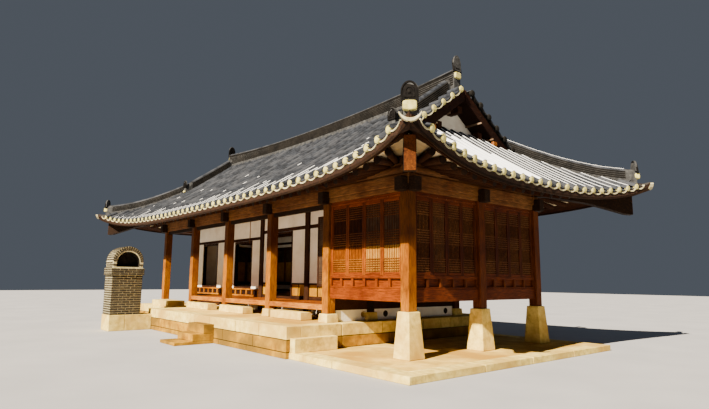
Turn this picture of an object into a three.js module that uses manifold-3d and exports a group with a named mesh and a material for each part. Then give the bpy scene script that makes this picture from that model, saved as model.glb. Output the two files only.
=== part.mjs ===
// A five-bay timber hanok with a hip-and-gable tiled roof, a raised corner pavilion,
// a veranda along the front and a stone platform with steps and a brick flue stack.
// Millimetres, +Z up. The long front faces -Y and the raised pavilion is at the +X end.
// The origin is on the ground at the centre of the grid of posts.
import * as THREE from 'three';
import { mergeVertices } from 'three/addons/utils/BufferGeometryUtils.js';
import Module from 'manifold-3d';

const wasm = await Module();
wasm.setup();

// Driving dimensions: the frame
const gap = 0.3;
const bayWidth = 2400;
const bayCount = 5;
const bayDepth = 2100;
const postSide = 210;
const innerPostSide = 180;
const innerRowY = -950;
const beamBottom = 3170;
const beamTop = 3490;
const beamThickness = 200;
const beamEnd = 170;
const bracketWidth = 150;
const bracketTop = 3400;

// Driving dimensions: the stonework
const slabTop = 120;
const slabRight = 7240;
const slabFront = -3370;
const stoneBack = 3030;
const platformTop = 605;
const platformRight = 4050;
const platformFront = -3440;
const platformCornerX = -3690;
const platformSetBack = -2650;
const platformLeft = -6950;
const baseStoneTop = 785;
const baseStoneSide = 290;
const tallStoneTop = 947;
const tallStoneTopSide = 290;
const tallStoneBottomSide = 410;
const entryX = [0, 900];
const entryTreads = [
  { front: -3700, top: 440 },
  { front: -3960, top: 230 },
  { front: -4380, top: 70 },
];
const stepStones = [
  { x: [1600, 2900], y: [-2340, -2030] },
  { x: [-1040, 200], y: [-2340, -2030] },
  { x: [-3300, -1950], y: [-2340, -2030] },
  { x: [-5860, -4400], y: [-2600, -2030] },
];
const stepStoneTop = 780;

// Driving dimensions: floors and walls
const verandaFloor = [855, 970];
const pavilionFloor = [1185, 1335];
const pavilionJoistBottom = 850;
const roomFloorTop = 1000;
const wallFace = 40;
const wallThickness = 70;
const innerWallThickness = 90;
const innerWallTop = 4480;
const panelWall = { apronBottom: 1109, apronTop: 1340, sillTop: 1593, latticeTop: 3070 };
const pocketDepth = 22;
const doorHead = 2800;

// Driving dimensions: the roof, taken at the centre line of the round tile rows
const frontOverhang = 1375;
const sideOverhang = 1466;
const tipOverhang = 1950;
const frontEaveZ = 3337;
const sideEaveZ = 3385;
const tipZ = 3840;
const ridgeMiddleZ = 5680;
const ridgeLift = 120;
const ridgeHalfLength = 5534;
const ridgeTopMiddle = 6060;
const ridgeTopLift = 222;
const frontHollow = 0.12;
const sideHollow = 0.1;
const vergeX = 5700;
const gableX = 5200;
const gableThickness = 80;
const tileBed = 30;
const vergeDepth = 250;
const bargeboardDepth = 380;
const eaveDepth = 140;
const postLineUnderside = 3675;
const cornerUnderside = 3900;
const ridgeUnderside = 350;

// Driving dimensions: the rafters
const rafterPitch = 320;
const rafterRadius = 65;
const rafterClearance = 24;
const rafterSetBack = 200;
const fanReach = 1330;
const plate = [-100, 45];
const fanStart = 900;
const fanShare = 0.32;

// Driving dimensions: the pavilion's door, which stands open beside its post
const hinge = { x: 3525, y: -1965 };
const leaf = { width: 530, thickness: 36, bottom: 1350, top: 2940, heel: 12 };
const knuckle = { radius: 9, height: 60, heights: [1560, 2670] };

// Worked-out values
const halfLength = (bayWidth * bayCount) / 2;
const halfDepth = bayDepth;
const hipOffset = halfLength - halfDepth;
const tipX = halfLength + tipOverhang;
const tipY = halfDepth + tipOverhang;
const hipFall = (cornerUnderside - tipZ + eaveDepth) / tipOverhang;
const crossY = vergeX - hipOffset;
const half = postSide / 2;
const innerHalf = innerPostSide / 2;
const postX = Array.from({ length: bayCount + 1 }, (_, i) => halfLength - i * bayWidth);

const materials = {
  timber: new THREE.MeshStandardMaterial({ color: 0x7a4a2a, roughness: 0.7, metalness: 0 }),
  darkTimber: new THREE.MeshStandardMaterial({ color: 0x3a241a, roughness: 0.75, metalness: 0 }),
  plaster: new THREE.MeshStandardMaterial({ color: 0xd9d2c4, roughness: 0.9, metalness: 0 }),
  granite: new THREE.MeshStandardMaterial({ color: 0xcfc3a4, roughness: 0.85, metalness: 0 }),
  tile: new THREE.MeshStandardMaterial({ color: 0x55534f, roughness: 0.8, metalness: 0 }),
  brick: new THREE.MeshStandardMaterial({ color: 0x6f6a64, roughness: 0.85, metalness: 0 }),
};

const house = new THREE.Group();

function addPiece(name, geometry, material, x = 0, y = 0, z = 0) {
  const mesh = new THREE.Mesh(geometry, material);
  mesh.name = name;
  mesh.position.set(x, y, z);
  house.add(mesh);
  return mesh;
}

// Solids and how they are joined and cut
function box(x0, x1, y0, y1, z0, z1) {
  const geometry = new THREE.BoxGeometry(x1 - x0, y1 - y0, z1 - z0);
  return geometry.translate((x0 + x1) / 2, (y0 + y1) / 2, (z0 + z1) / 2);
}

function toSolid(geometry) {
  const bare = geometry.clone();
  for (const name of Object.keys(bare.attributes)) {
    if (name !== 'position') bare.deleteAttribute(name);
  }
  const merged = mergeVertices(bare, 1e-3);
  const mesh = new wasm.Mesh({
    numProp: 3,
    vertProperties: new Float32Array(merged.attributes.position.array),
    triVerts: new Uint32Array(merged.index.array),
  });
  return new wasm.Manifold(mesh);
}

function toGeometry(solid) {
  const mesh = solid.getMesh();
  const geometry = new THREE.BufferGeometry();
  geometry.setAttribute('position', new THREE.BufferAttribute(mesh.vertProperties, 3));
  geometry.setIndex(new THREE.BufferAttribute(mesh.triVerts, 1));
  geometry.computeVertexNormals();
  return geometry;
}

function join(geometries) {
  return geometries.map(toSolid).reduce((sum, solid) => sum.add(solid));
}

function cut(solid, geometries) {
  return geometries.map(toSolid).reduce((rest, cutter) => rest.subtract(cutter), solid);
}

function shift(solid, z) {
  return toSolid(toGeometry(solid).translate(0, 0, z));
}

// An outline in plan, raised from z0 to z1
function planPrism(points, z0, z1) {
  const shape = new THREE.Shape(points.map(([x, y]) => new THREE.Vector2(x, y)));
  return new THREE.ExtrudeGeometry(shape, { depth: z1 - z0, bevelEnabled: false }).translate(0, 0, z0);
}

// An outline of Y and Z, extruded along X from x0 to x1
function sidePrism(points, x0, x1) {
  const shape = new THREE.Shape(points.map(([y, z]) => new THREE.Vector2(y, z)));
  const geometry = new THREE.ExtrudeGeometry(shape, { depth: x1 - x0, bevelEnabled: false });
  return geometry.rotateX(Math.PI / 2).rotateZ(Math.PI / 2).translate(x0, 0, 0);
}

// A square stone that tapers from its foot to its top
function taperedStone(bottomSide, topSide, z0, z1) {
  const geometry = new THREE.CylinderGeometry(
    topSide / Math.SQRT2, bottomSide / Math.SQRT2, z1 - z0, 4, 1, false, Math.PI / 4);
  return geometry.rotateX(Math.PI / 2).translate(0, 0, (z0 + z1) / 2);
}

function steps(from, to, count) {
  return Array.from({ length: count + 1 }, (_, i) => from + ((to - from) * i) / count);
}

function bothWays(values) {
  return [...values.map((value) => -value).reverse(), 0, ...values];
}

// A body between two surfaces z = top(x, y) and z = bottom(x, y) over a rectangle
function betweenSurfaces(xs, ys, top, bottom) {
  const positions = [];
  const faces = [];
  const columns = ys.length;
  for (const surface of [top, bottom]) {
    for (const x of xs) {
      for (const y of ys) positions.push(x, y, surface(x, y));
    }
  }
  const lower = xs.length * columns;
  const at = (i, j) => i * columns + j;
  const quad = (a, b, c, d) => faces.push(a, b, c, a, c, d);
  for (let i = 0; i + 1 < xs.length; i++) {
    for (let j = 0; j + 1 < columns; j++) {
      quad(at(i, j), at(i + 1, j), at(i + 1, j + 1), at(i, j + 1));
      quad(lower + at(i, j), lower + at(i, j + 1), lower + at(i + 1, j + 1), lower + at(i + 1, j));
    }
  }
  const wall = (a, b) => quad(b, a, lower + a, lower + b);
  for (let i = 0; i + 1 < xs.length; i++) {
    wall(at(i, 0), at(i + 1, 0));
    wall(at(i + 1, columns - 1), at(i, columns - 1));
  }
  for (let j = 0; j + 1 < columns; j++) {
    wall(at(0, j + 1), at(0, j));
    wall(at(xs.length - 1, j), at(xs.length - 1, j + 1));
  }
  const geometry = new THREE.BufferGeometry();
  geometry.setAttribute('position', new THREE.Float32BufferAttribute(positions, 3));
  geometry.setIndex(faces);
  return geometry;
}

// A bar that follows a path in plan: each stop gives its place, its bottom and its top
function followPath(stops, section) {
  const positions = [];
  const faces = [];
  const count = section.length;
  stops.forEach((stop, i) => {
    const before = stops[Math.max(i - 1, 0)];
    const after = stops[Math.min(i + 1, stops.length - 1)];
    const along = new THREE.Vector2(after.x - before.x, after.y - before.y).normalize();
    for (const [side, level] of section) {
      const z = stop.bottom + (stop.top - stop.bottom) * level;
      positions.push(stop.x + along.y * side, stop.y - along.x * side, z);
    }
  });
  for (let i = 0; i + 1 < stops.length; i++) {
    for (let j = 0; j < count; j++) {
      const a = i * count + j;
      const b = i * count + ((j + 1) % count);
      faces.push(a, b + count, b, a, a + count, b + count);
    }
  }
  const last = (stops.length - 1) * count;
  for (let j = 1; j + 1 < count; j++) {
    faces.push(0, j, j + 1);
    faces.push(last, last + j + 1, last + j);
  }
  const geometry = new THREE.BufferGeometry();
  geometry.setAttribute('position', new THREE.Float32BufferAttribute(positions, 3));
  geometry.setIndex(faces);
  return geometry;
}

// The curved edge of the eaves and the surfaces that rise from it
function frontEave(x) {
  const share = Math.abs(x) / tipX;
  const slow = 100 * share ** 2;
  return {
    out: frontOverhang + (tipOverhang - frontOverhang) * share ** 4.2,
    z: frontEaveZ + slow + (tipZ - frontEaveZ - 100) * share ** 7,
  };
}

function sideEave(y) {
  const share = Math.abs(y) / tipY;
  return {
    out: sideOverhang + (tipOverhang - sideOverhang) * share ** 2,
    z: sideEaveZ + (tipZ - sideEaveZ) * share ** 3.2,
  };
}

function ridgeLine(x) {
  return ridgeMiddleZ + ridgeLift * (x / ridgeHalfLength) ** 2;
}

function frontSurface(x, y) {
  const eave = frontEave(x);
  const share = Math.abs(y) / (halfDepth + eave.out);
  const fall = (1 + frontHollow) * share - frontHollow * share ** 2;
  return ridgeLine(Math.min(Math.abs(x), vergeX)) * (1 - fall) + eave.z * fall;
}

function sideSurface(x, y) {
  const eave = sideEave(y);
  const across = Math.max(Math.abs(y), crossY);
  const innerZ = frontSurface(across + hipOffset, across);
  const length = Math.max(halfLength + eave.out - across - hipOffset, 100);
  const share = Math.min((halfLength + eave.out - Math.abs(x)) / length, 1.3);
  const rise = (1 - sideHollow) * share + sideHollow * share ** 2;
  return eave.z + (innerZ - eave.z) * rise;
}

// The underside of the roof, which lies on the rafters and is highest at the corners
function undersideAtPosts(along, end) {
  const share = Math.max(0, Math.min(1, (along - end + 1700) / 1700));
  return postLineUnderside + (cornerUnderside - postLineUnderside) * share ** 2;
}

function eaveUnderside(along, end, out, eave) {
  const start = Math.max(0, along - end);
  const innerZ = start > 0 ? cornerUnderside - hipFall * start : undersideAtPosts(along, end);
  const share = (out - start) / Math.max(eave.out - start, 400);
  return innerZ + (eave.z - eaveDepth - innerZ) * Math.max(-1, share);
}

function frontUnderside(x, y) {
  const along = Math.abs(x);
  const out = Math.abs(y) - halfDepth;
  if (out >= 0) return eaveUnderside(along, halfLength, out, frontEave(x));
  const atPosts = undersideAtPosts(Math.min(along, halfLength), halfLength);
  return atPosts + ((ridgeMiddleZ - ridgeUnderside - atPosts) * -out) / halfDepth;
}

function sideUnderside(x, y) {
  const along = Math.abs(y);
  const out = Math.abs(x) - halfLength;
  if (out >= 0) return eaveUnderside(along, halfDepth, out, sideEave(y));
  return undersideAtPosts(Math.min(along, halfDepth), halfDepth) - out * 0.6;
}

function addStonework() {
  const blocks = [
    planPrism([
      [platformRight, platformFront], [platformRight, stoneBack], [platformLeft, stoneBack],
      [platformLeft, platformSetBack], [platformCornerX, platformSetBack],
      [platformCornerX, platformFront],
    ], 0, platformTop),
  ];
  const sunk = platformTop - 50;
  for (const stone of stepStones) {
    blocks.push(box(stone.x[0], stone.x[1], stone.y[0], stone.y[1], sunk, stepStoneTop));
  }
  for (const x of postX.slice(1)) {
    for (const y of [-halfDepth, halfDepth]) {
      const stone = taperedStone(baseStoneSide + 30, baseStoneSide, sunk, baseStoneTop);
      blocks.push(stone.translate(x, y, 0));
    }
  }
  addPiece('platform', toGeometry(join(blocks)), materials.granite);
  addPiece('lower_slab',
    box(platformRight + gap, slabRight, slabFront, stoneBack, 0, slabTop), materials.granite);
  addPiece('end_step',
    box(platformRight + gap, platformRight + 170, -3350, -2320, slabTop + gap, 385),
    materials.granite);

  const treads = [[platformFront - gap, 0], [platformFront - gap, entryTreads[0].top]];
  entryTreads.forEach((tread, i) => {
    const next = entryTreads[i + 1];
    treads.push([tread.front, tread.top]);
    treads.push([tread.front, next ? next.top : 0]);
  });
  addPiece('entry_steps', sidePrism(treads.reverse(), entryX[0], entryX[1]), materials.granite);

  const tallStone = taperedStone(tallStoneBottomSide, tallStoneTopSide, slabTop + gap, tallStoneTop);
  addPiece('tall_stone_front', tallStone, materials.granite, halfLength, -halfDepth);
  addPiece('tall_stone_middle', tallStone.clone(), materials.granite, halfLength, 0);
  addPiece('tall_stone_rear', tallStone.clone(), materials.granite, halfLength, halfDepth);
}

// The brick flue stack: a shaft, a ledge and a vaulted cap with a smoke opening
const stack = {
  x: [-4130, -3410], y: [-4620, -3780], baseTop: 450, ledge: [1590, 1790], ledgeOut: 35,
  springing: 2010, niche: { halfWidth: 330, bottom: 1830, depth: 420 },
};

function arch(middle, halfWidth, bottom, springing) {
  const points = [[middle - halfWidth, bottom], [middle + halfWidth, bottom]];
  for (const turn of steps(0, Math.PI, 12)) {
    points.push([middle + halfWidth * Math.cos(turn), springing + halfWidth * Math.sin(turn)]);
  }
  return points;
}

function addFlueStack() {
  const [x0, x1] = stack.x;
  const [y0, y1] = stack.y;
  const out = stack.ledgeOut;
  const middle = (y0 + y1) / 2;
  addPiece('flue_base', box(x0 - 20, x1 + 20, y0 - 20, platformFront - gap, 0, stack.baseTop),
    materials.granite);
  const body = join([
    box(x0, x1, y0, y1, stack.baseTop + gap, stack.ledge[1]),
    box(x0 - out, x1 + out, y0 - out, y1 + out, stack.ledge[0], stack.ledge[1]),
    sidePrism(arch(middle, (y1 - y0) / 2, stack.ledge[1] - 50, stack.springing), x0, x1),
  ]);
  const niche = stack.niche;
  const opening = sidePrism(
    arch(middle, niche.halfWidth, niche.bottom, stack.springing - 60), x1 - niche.depth, x1 + 100);
  addPiece('flue_stack', toGeometry(cut(body, [opening])), materials.brick);
}

function addPosts() {
  const post = (foot) => box(-half, half, -half, half, foot + gap, beamBottom - gap);
  postX.forEach((x, i) => {
    const foot = i === 0 ? tallStoneTop : baseStoneTop;
    addPiece(`front_post_${i + 1}`, post(foot), materials.timber, x, -halfDepth);
  });
  addPiece('right_middle_post', post(tallStoneTop), materials.timber, halfLength, 0);
  addPiece('rear_right_post', post(tallStoneTop), materials.timber, halfLength, halfDepth);
  addPiece('rear_pavilion_post', post(baseStoneTop), materials.timber, postX[1], halfDepth);
  addPiece('rear_left_post', post(baseStoneTop), materials.timber, -halfLength, halfDepth);
}

// The beams over the posts, with the ends of the cross beams showing outside them
function addBeams() {
  const t = beamThickness / 2;
  const reach = halfLength + half + beamEnd;
  for (const [name, side] of [['front_beam', -1], ['rear_beam', 1]]) {
    const y = side * halfDepth;
    const outer = y + side * (t + beamEnd);
    const blocks = [box(-reach, reach, y - t, y + t, beamBottom, beamTop)];
    for (const x of postX) {
      const w = bracketWidth / 2;
      blocks.push(box(x - w, x + w, Math.min(y, outer), Math.max(y, outer), beamBottom, bracketTop));
    }
    addPiece(name, toGeometry(join(blocks)), materials.timber);
  }
  for (const [name, side] of [['right_beam', 1], ['left_beam', -1]]) {
    const x = side * halfLength;
    const outer = x + side * (t + beamEnd);
    const w = bracketWidth / 2;
    const inner = halfDepth - t - gap;
    const blocks = [
      box(x - t, x + t, -inner, inner, beamBottom, beamTop),
      box(Math.min(x, outer), Math.max(x, outer), -w, w, beamBottom, bracketTop),
    ];
    addPiece(name, toGeometry(join(blocks)), materials.timber);
  }
}

function postCutter(x, y, side) {
  const reach = side / 2 + gap;
  return box(x - reach, x + reach, y - reach, y + reach, 0, beamTop);
}

function addFloors() {
  const veranda = toSolid(box(postX[4], postX[1] - 60 - gap, -halfDepth - 100,
    innerRowY - innerWallThickness / 2 - gap, verandaFloor[0], verandaFloor[1]));
  const verandaPosts = [1, 2, 3, 4].flatMap((i) => [
    postCutter(postX[i], -halfDepth, postSide), postCutter(postX[i], innerRowY, innerPostSide)]);
  addPiece('veranda_floor', toGeometry(cut(veranda, verandaPosts)), materials.timber);

  const inner = halfDepth + wallFace - wallThickness - gap;
  const right = halfLength + wallFace - wallThickness - gap;
  const pavilion = join([
    box(postX[1] - 60, right, -inner, inner, pavilionFloor[0], pavilionFloor[1]),
    box(postX[1] - 60, postX[1] + 60, -inner, inner, pavilionJoistBottom, pavilionFloor[1]),
  ]);
  const pavilionPosts = [
    [postX[0], -halfDepth], [postX[0], 0], [postX[0], halfDepth], [postX[1], -halfDepth],
    [postX[1], halfDepth],
  ].map(([x, y]) => postCutter(x, y, postSide));
  addPiece('pavilion_floor', toGeometry(cut(pavilion, pavilionPosts)), materials.timber);

  const back = halfDepth + wallFace - wallThickness - gap;
  const room = toSolid(box(-halfLength + half, postX[1] - 60 - gap,
    innerRowY + innerWallThickness / 2 + gap, back, platformTop + gap, roomFloorTop));
  const roomPosts = [1, 2, 3, 4, 5].flatMap((i) => [
    postCutter(postX[i], innerRowY, innerPostSide),
    box(postX[i] - 180, postX[i] + 180, halfDepth - 180, halfDepth + 180, 0, beamTop)]);
  addPiece('room_floor', toGeometry(cut(room, roomPosts)), materials.granite);
}

// A wall of the pavilion: apron beam, panelled low wall and four lattice leaves
function panelledWall(length, panelCount) {
  const z = panelWall;
  const face = -wallFace;
  const solid = toSolid(box(-length / 2, length / 2, face, face + wallThickness,
    z.apronBottom, beamBottom - gap));
  const pockets = [];
  const pocket = (x0, x1, z0, z1) => {
    pockets.push(box(x0, x1, face - 10, face + pocketDepth, z0, z1));
  };
  const panelWidth = length / panelCount;
  for (let i = 0; i < panelCount; i++) {
    const x = -length / 2 + i * panelWidth;
    pocket(x + 35, x + panelWidth - 35, z.apronTop + 35, z.sillTop - 55);
  }
  const leafWidth = (length - 80) / 4;
  for (let i = 0; i < 4; i++) {
    const x = -length / 2 + 40 + i * leafWidth;
    pocket(x + 45, x + leafWidth - 45, z.sillTop + 60, z.latticeTop - 60);
  }
  return toGeometry(cut(solid, pockets));
}

function addPavilionWalls() {
  const frontLength = bayWidth - postSide - 2 * gap;
  const sideLength = bayDepth - postSide - 2 * gap;
  const middleX = (postX[0] + postX[1]) / 2;
  const frontWall = panelledWall(frontLength, 6);
  addPiece('pavilion_front_wall', frontWall, materials.timber, middleX, -halfDepth);
  const rear = addPiece('pavilion_rear_wall', frontWall.clone(), materials.timber, middleX, halfDepth);
  rear.rotation.z = Math.PI;
  const sideWall = panelledWall(sideLength, 5);
  for (const [name, y] of [['pavilion_right_wall_1', -bayDepth / 2], ['pavilion_right_wall_2', bayDepth / 2]]) {
    const wall = addPiece(name, sideWall.clone(), materials.timber, halfLength, y);
    wall.rotation.z = Math.PI / 2;
  }
}

// The plastered wall under the edge of the pavilion, with two round vents
function addUnderfloorWall() {
  const x0 = postX[1] - 60;
  const x1 = postX[1] + 60;
  const z = [platformTop + gap, pavilionJoistBottom - gap];
  const reach = halfDepth - 160 - gap;
  const wall = toSolid(box(x0, x1, -reach, reach, z[0], z[1]));
  const vents = [-1150, 550].map((y) => {
    const vent = new THREE.CylinderGeometry(75, 75, 200, 16).rotateZ(Math.PI / 2);
    return vent.translate(postX[1], y, (z[0] + z[1]) / 2 + 10);
  });
  addPiece('underfloor_wall', toGeometry(cut(wall, vents)), materials.plaster);
}

// The walls set back behind the veranda, one for each bay, with the post at their left
const recessedOpenings = [
  null,
  { x: [-700, 400], z: [roomFloorTop + 40, doorHead] },
  { x: [-2920, -1890], z: [1270, 2640] },
  { x: [-5375, -4300], z: [1270, 2680] },
];

function addRecessedWalls() {
  const pavilionTop = pavilionFloor[1] + gap;
  const joistEdge = postX[1] - 60 - gap;
  const beamInner = -halfLength + beamThickness / 2 + gap;
  const aboveLeftBeam = box(-halfLength - half, beamInner, -halfDepth, 0, beamBottom - gap, 6000);
  const underRafters = box(-halfLength - half, -halfLength - plate[0] + 10, -halfDepth, 0,
    beamTop - 10, 6000);
  recessedOpenings.forEach((opening, i) => {
    const right = postX[i + 1];
    const left = postX[i + 2];
    const y0 = innerRowY - innerWallThickness / 2;
    const y1 = innerRowY + innerWallThickness / 2;
    const foot = platformTop + gap;
    const post = (x, z) => box(x - innerHalf, x + innerHalf, innerRowY - innerHalf,
      innerRowY + innerHalf, z, innerWallTop);
    const wallEnd = i === 0 ? joistEdge : right - innerHalf - gap;
    const blocks = [box(left, wallEnd, y0, y1, foot, innerWallTop), post(left, foot)];
    if (i === 0) {
      blocks.push(box(wallEnd - 10, right, y0, y1, pavilionTop, innerWallTop));
      blocks.push(post(right, pavilionTop));
    }
    const cutters = [];
    if (opening) {
      cutters.push(box(opening.x[0], opening.x[1], y0 - 50, y1 + 50, opening.z[0], opening.z[1]));
    }
    if (left <= -halfLength) cutters.push(aboveLeftBeam, underRafters, aboveSideUnderside(-1));
    addPiece(`recessed_wall_${i + 2}`, toGeometry(cut(join(blocks), cutters)), materials.plaster);
  });
}

// The rear and left walls, with the posts that stand inside their length
function addOuterWalls() {
  const top = beamBottom - gap;
  const foot = platformTop + gap;
  const outer = halfDepth + wallFace;
  const shoulder = 160;
  const rearBlocks = [
    box(-halfLength + half + gap, postX[1] - half - gap, outer - wallThickness, outer,
      roomFloorTop + gap, top),
    box(-halfLength + shoulder, postX[1] - shoulder, outer - wallThickness, outer,
      foot, roomFloorTop + 50),
  ];
  for (const x of postX.slice(2, 5)) {
    rearBlocks.push(box(x - half, x + half, halfDepth - half, halfDepth + half,
      baseStoneTop + gap, top));
  }
  const stones = postX.slice(2, 5).map((x) => box(
    x - shoulder, x + shoulder, halfDepth - shoulder, halfDepth + shoulder, 0, baseStoneTop + gap));
  const windows = [1, 2, 3, 4].map((i) => {
    const middle = postX[i] - bayWidth / 2;
    return box(middle - 550, middle + 550, outer - 200, outer + 100, 1350, 2700);
  });
  addPiece('rear_wall', toGeometry(cut(join(rearBlocks), [...stones, ...windows])),
    materials.plaster);

  const x0 = -halfLength - wallFace;
  const leftBlocks = [
    box(x0, x0 + wallThickness, innerRowY + innerHalf + gap, halfDepth - half - gap,
      baseStoneTop + gap, top),
    box(x0, x0 + wallThickness, innerRowY + innerHalf + gap, halfDepth - shoulder,
      foot, baseStoneTop + 50),
    box(-halfLength - half, -halfLength + half, -half, half, foot, top),
  ];
  const leftWindow = box(x0 - 100, x0 + 200, 500, 1600, 1350, 2700);
  const floorEdge = box(-halfLength + half - gap, 0, -halfDepth, halfDepth, 0, roomFloorTop + gap);
  addPiece('left_wall', toGeometry(cut(join(leftBlocks), [leftWindow, floorEdge])),
    materials.plaster);
}

// The doorway between the veranda and the pavilion, and its one lattice leaf
function addDoor() {
  const x0 = postX[1] - 50;
  const x1 = postX[1] + 45;
  const y0 = -halfDepth + half + gap;
  const y1 = innerRowY - innerHalf - gap;
  const openingEnd = hinge.y + leaf.width + 8;
  const blocks = [
    box(x0, x1, y0, y1, pavilionFloor[1] + gap, beamTop),
    ...knuckle.heights.map((z) => box(hinge.x - 4, x0 + 10, hinge.y - 5, hinge.y + 5,
      z, z + knuckle.height)),
    ...knuckle.heights.map((z) => new THREE.CylinderGeometry(
      knuckle.radius, knuckle.radius, knuckle.height, 12).rotateX(Math.PI / 2).translate(
      hinge.x, hinge.y, z + knuckle.height / 2)),
  ];
  const doorway = box(x0 - 50, x1 + 50, hinge.y + 35, openingEnd - 40, leaf.bottom + 40,
    leaf.top - 40);
  addPiece('pavilion_doorway', toGeometry(cut(join(blocks), [doorway])), materials.darkTimber);

  const t = leaf.thickness / 2;
  const panel = toSolid(box(hinge.x - leaf.width, hinge.x + leaf.heel, hinge.y - t, hinge.y + t,
    leaf.bottom, leaf.top));
  const cutters = knuckle.heights.map((z) => box(hinge.x - 26, hinge.x + 40, hinge.y - 40,
    hinge.y + 40, z - gap, z + knuckle.height + gap));
  for (const side of [-1, 1]) {
    const face = hinge.y + side * t;
    const floor = hinge.y + side * 6;
    const pocket = (z0, z1) => box(hinge.x - leaf.width + 50, hinge.x - 50,
      Math.min(floor, face + side * 5), Math.max(floor, face + side * 5), z0, z1);
    cutters.push(pocket(leaf.bottom + 60, leaf.bottom + 330));
    cutters.push(pocket(leaf.bottom + 390, leaf.top - 50));
  }
  addPiece('pavilion_door', toGeometry(cut(panel, cutters)), materials.darkTimber);
}

// The four slopes of the roof
const tipCut = 25;
const hipGap = 0.25;

function frontOutline(side) {
  const edge = steps(-tipX + tipCut, tipX - tipCut, 40).map(
    (x) => [x, side * (halfDepth + frontEave(x).out)]);
  const hip = tipX - tipCut;
  const points = [
    ...edge, [hip, side * (hip - hipOffset + hipGap)], [vergeX - hipGap, side * (crossY + hipGap)],
    [vergeX - hipGap, side * hipGap], [-vergeX + hipGap, side * hipGap],
    [-vergeX + hipGap, side * (crossY + hipGap)], [-hip, side * (hip - hipOffset + hipGap)],
  ];
  return side < 0 ? points : points.reverse();
}

function sideOutline(side) {
  const inner = gableX + gableThickness + 2 * gap;
  const edge = steps(-tipY + tipCut, tipY - tipCut, 20).map(
    (y) => [side * (halfLength + sideEave(y).out), y]);
  const hip = tipY - tipCut;
  const points = [
    ...edge, [side * (hip + hipOffset + hipGap), hip], [side * (vergeX + hipGap), crossY],
    [side * inner, crossY], [side * inner, -crossY], [side * (vergeX + hipGap), -crossY],
    [side * (hip + hipOffset + hipGap), -hip],
  ];
  return side > 0 ? points : points.reverse();
}

const frontXs = bothWays([1500, 3000, 4200, 5200, 5900, 6500, 7000, 7450, 7800, 8100]);
const sideXs = steps(5100, 8100, 8);
const sideYs = bothWays([900, crossY, 2400, 3000, 3500, 3900, 4200]);

function frontYs(side) {
  const ys = steps(0, 4200, 6);
  return side > 0 ? ys : ys.map((y) => -y).reverse();
}

function mirrorXs(xs, side) {
  return side > 0 ? xs : xs.map((x) => -x).reverse();
}

// A body over or under the projecting verge, always with the same facets
function vergeSpace(side, top, bottom) {
  const xs = mirrorXs([gableX, (gableX + vergeX) / 2, vergeX + 20], side);
  return betweenSurfaces(xs, steps(-crossY, crossY, 16), top, bottom);
}

// The space over the underside of a side slope
function aboveSideUnderside(side) {
  return betweenSurfaces(mirrorXs(sideXs, side), sideYs, () => 9000,
    (x, y) => sideUnderside(x, y) - gap);
}

const underVerge = (x, y) => frontSurface(x, y) - vergeDepth;

function frontSlope(side) {
  const slab = toSolid(betweenSurfaces(frontXs, frontYs(side),
    (x, y) => frontSurface(x, y) - tileBed, frontUnderside));
  const outline = toSolid(planPrism(frontOutline(side), 2000, 8000));
  return cut(slab.intersect(outline), [1, -1].map(
    (end) => vergeSpace(end, underVerge, () => 2500)));
}

function sideSlope(side, bottom = sideUnderside) {
  const slab = toSolid(betweenSurfaces(mirrorXs(sideXs, side), sideYs,
    (x, y) => sideSurface(x, y) - tileBed, bottom));
  const outline = toSolid(planPrism(sideOutline(side), 1000, 8000));
  const overVerge = toSolid(vergeSpace(side, () => 8500, (x, y) => underVerge(x, y) - gap));
  const inside = side * (vergeX + hipGap / 2);
  const vergeBlock = box(Math.min(0, inside), Math.max(0, inside), -5000, 5000, 0, 9000);
  return slab.intersect(outline).subtract(overVerge.intersect(toSolid(vergeBlock)));
}

// A gable: its plastered wall, the purlin ends that pass it and the two bargeboards
function gable(side) {
  const ys = steps(-1600, 1600, 8);
  const intoSlope = (x, y) => underVerge(x, y) + 60;
  const wall = betweenSurfaces(mirrorXs([gableX + gap, gableX + gableThickness], side), ys,
    intoSlope, () => 4300);
  const board = betweenSurfaces(mirrorXs([vergeX - 100, vergeX - 45], side), ys,
    intoSlope, (x, y) => underVerge(x, y) - bargeboardDepth);
  const ends = [[0, 5330], [-700, 4810], [700, 4810]].map(([y, z]) => {
    const x = side * 5440;
    return box(x - 165, x + 165, y - 70, y + 70, z - 90, z + 70);
  });
  const ground = shift(sideSlope(side, () => 1500), gap);
  const clear = [-1, 1].map((slope) => shift(frontSlope(slope), -gap));
  return toGeometry(clear.reduce((rest, slope) => rest.subtract(slope),
    join([wall, board, ...ends]).subtract(ground)));
}

// Narrow slots that clear the seams between the slopes from the feet of the ridges
function seamSlots() {
  const slot = [[-4, 0], [4, 0], [4, 1], [-4, 1]];
  const level = (z) => ({ bottom: z - 600, top: z - tileBed + 20 });
  const crest = steps(-ridgeHalfLength - 100, ridgeHalfLength + 100, 24).map(
    (x) => ({ x, y: 0, ...level(ridgeLine(x)) }));
  const slots = [followPath(crest, slot)];
  for (const sideX of [1, -1]) {
    for (const sideY of [1, -1]) {
      const hip = steps(vergeX - 30, tipX, 16).map((x) => ({
        x: sideX * x, y: sideY * (x - hipOffset), ...level(frontSurface(x, x - hipOffset)) }));
      slots.push(followPath(hip, slot));
      const verge = steps(crossY - 400, crossY + 4, 4).map((y) => ({
        x: sideX * vergeX, y: sideY * y, ...level(frontSurface(vergeX, y)) }));
      slots.push(followPath(verge, slot));
    }
  }
  return slots;
}

// The tile ridges, whose feet follow the slopes below them
const ridgeSection = [[-115, 0], [115, 0], [105, 0.8], [55, 1], [-55, 1], [-105, 0.8]];
const smallRidgeSection = [[-100, 0], [100, 0], [90, 0.78], [50, 1], [-50, 1], [-90, 0.78]];

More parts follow.
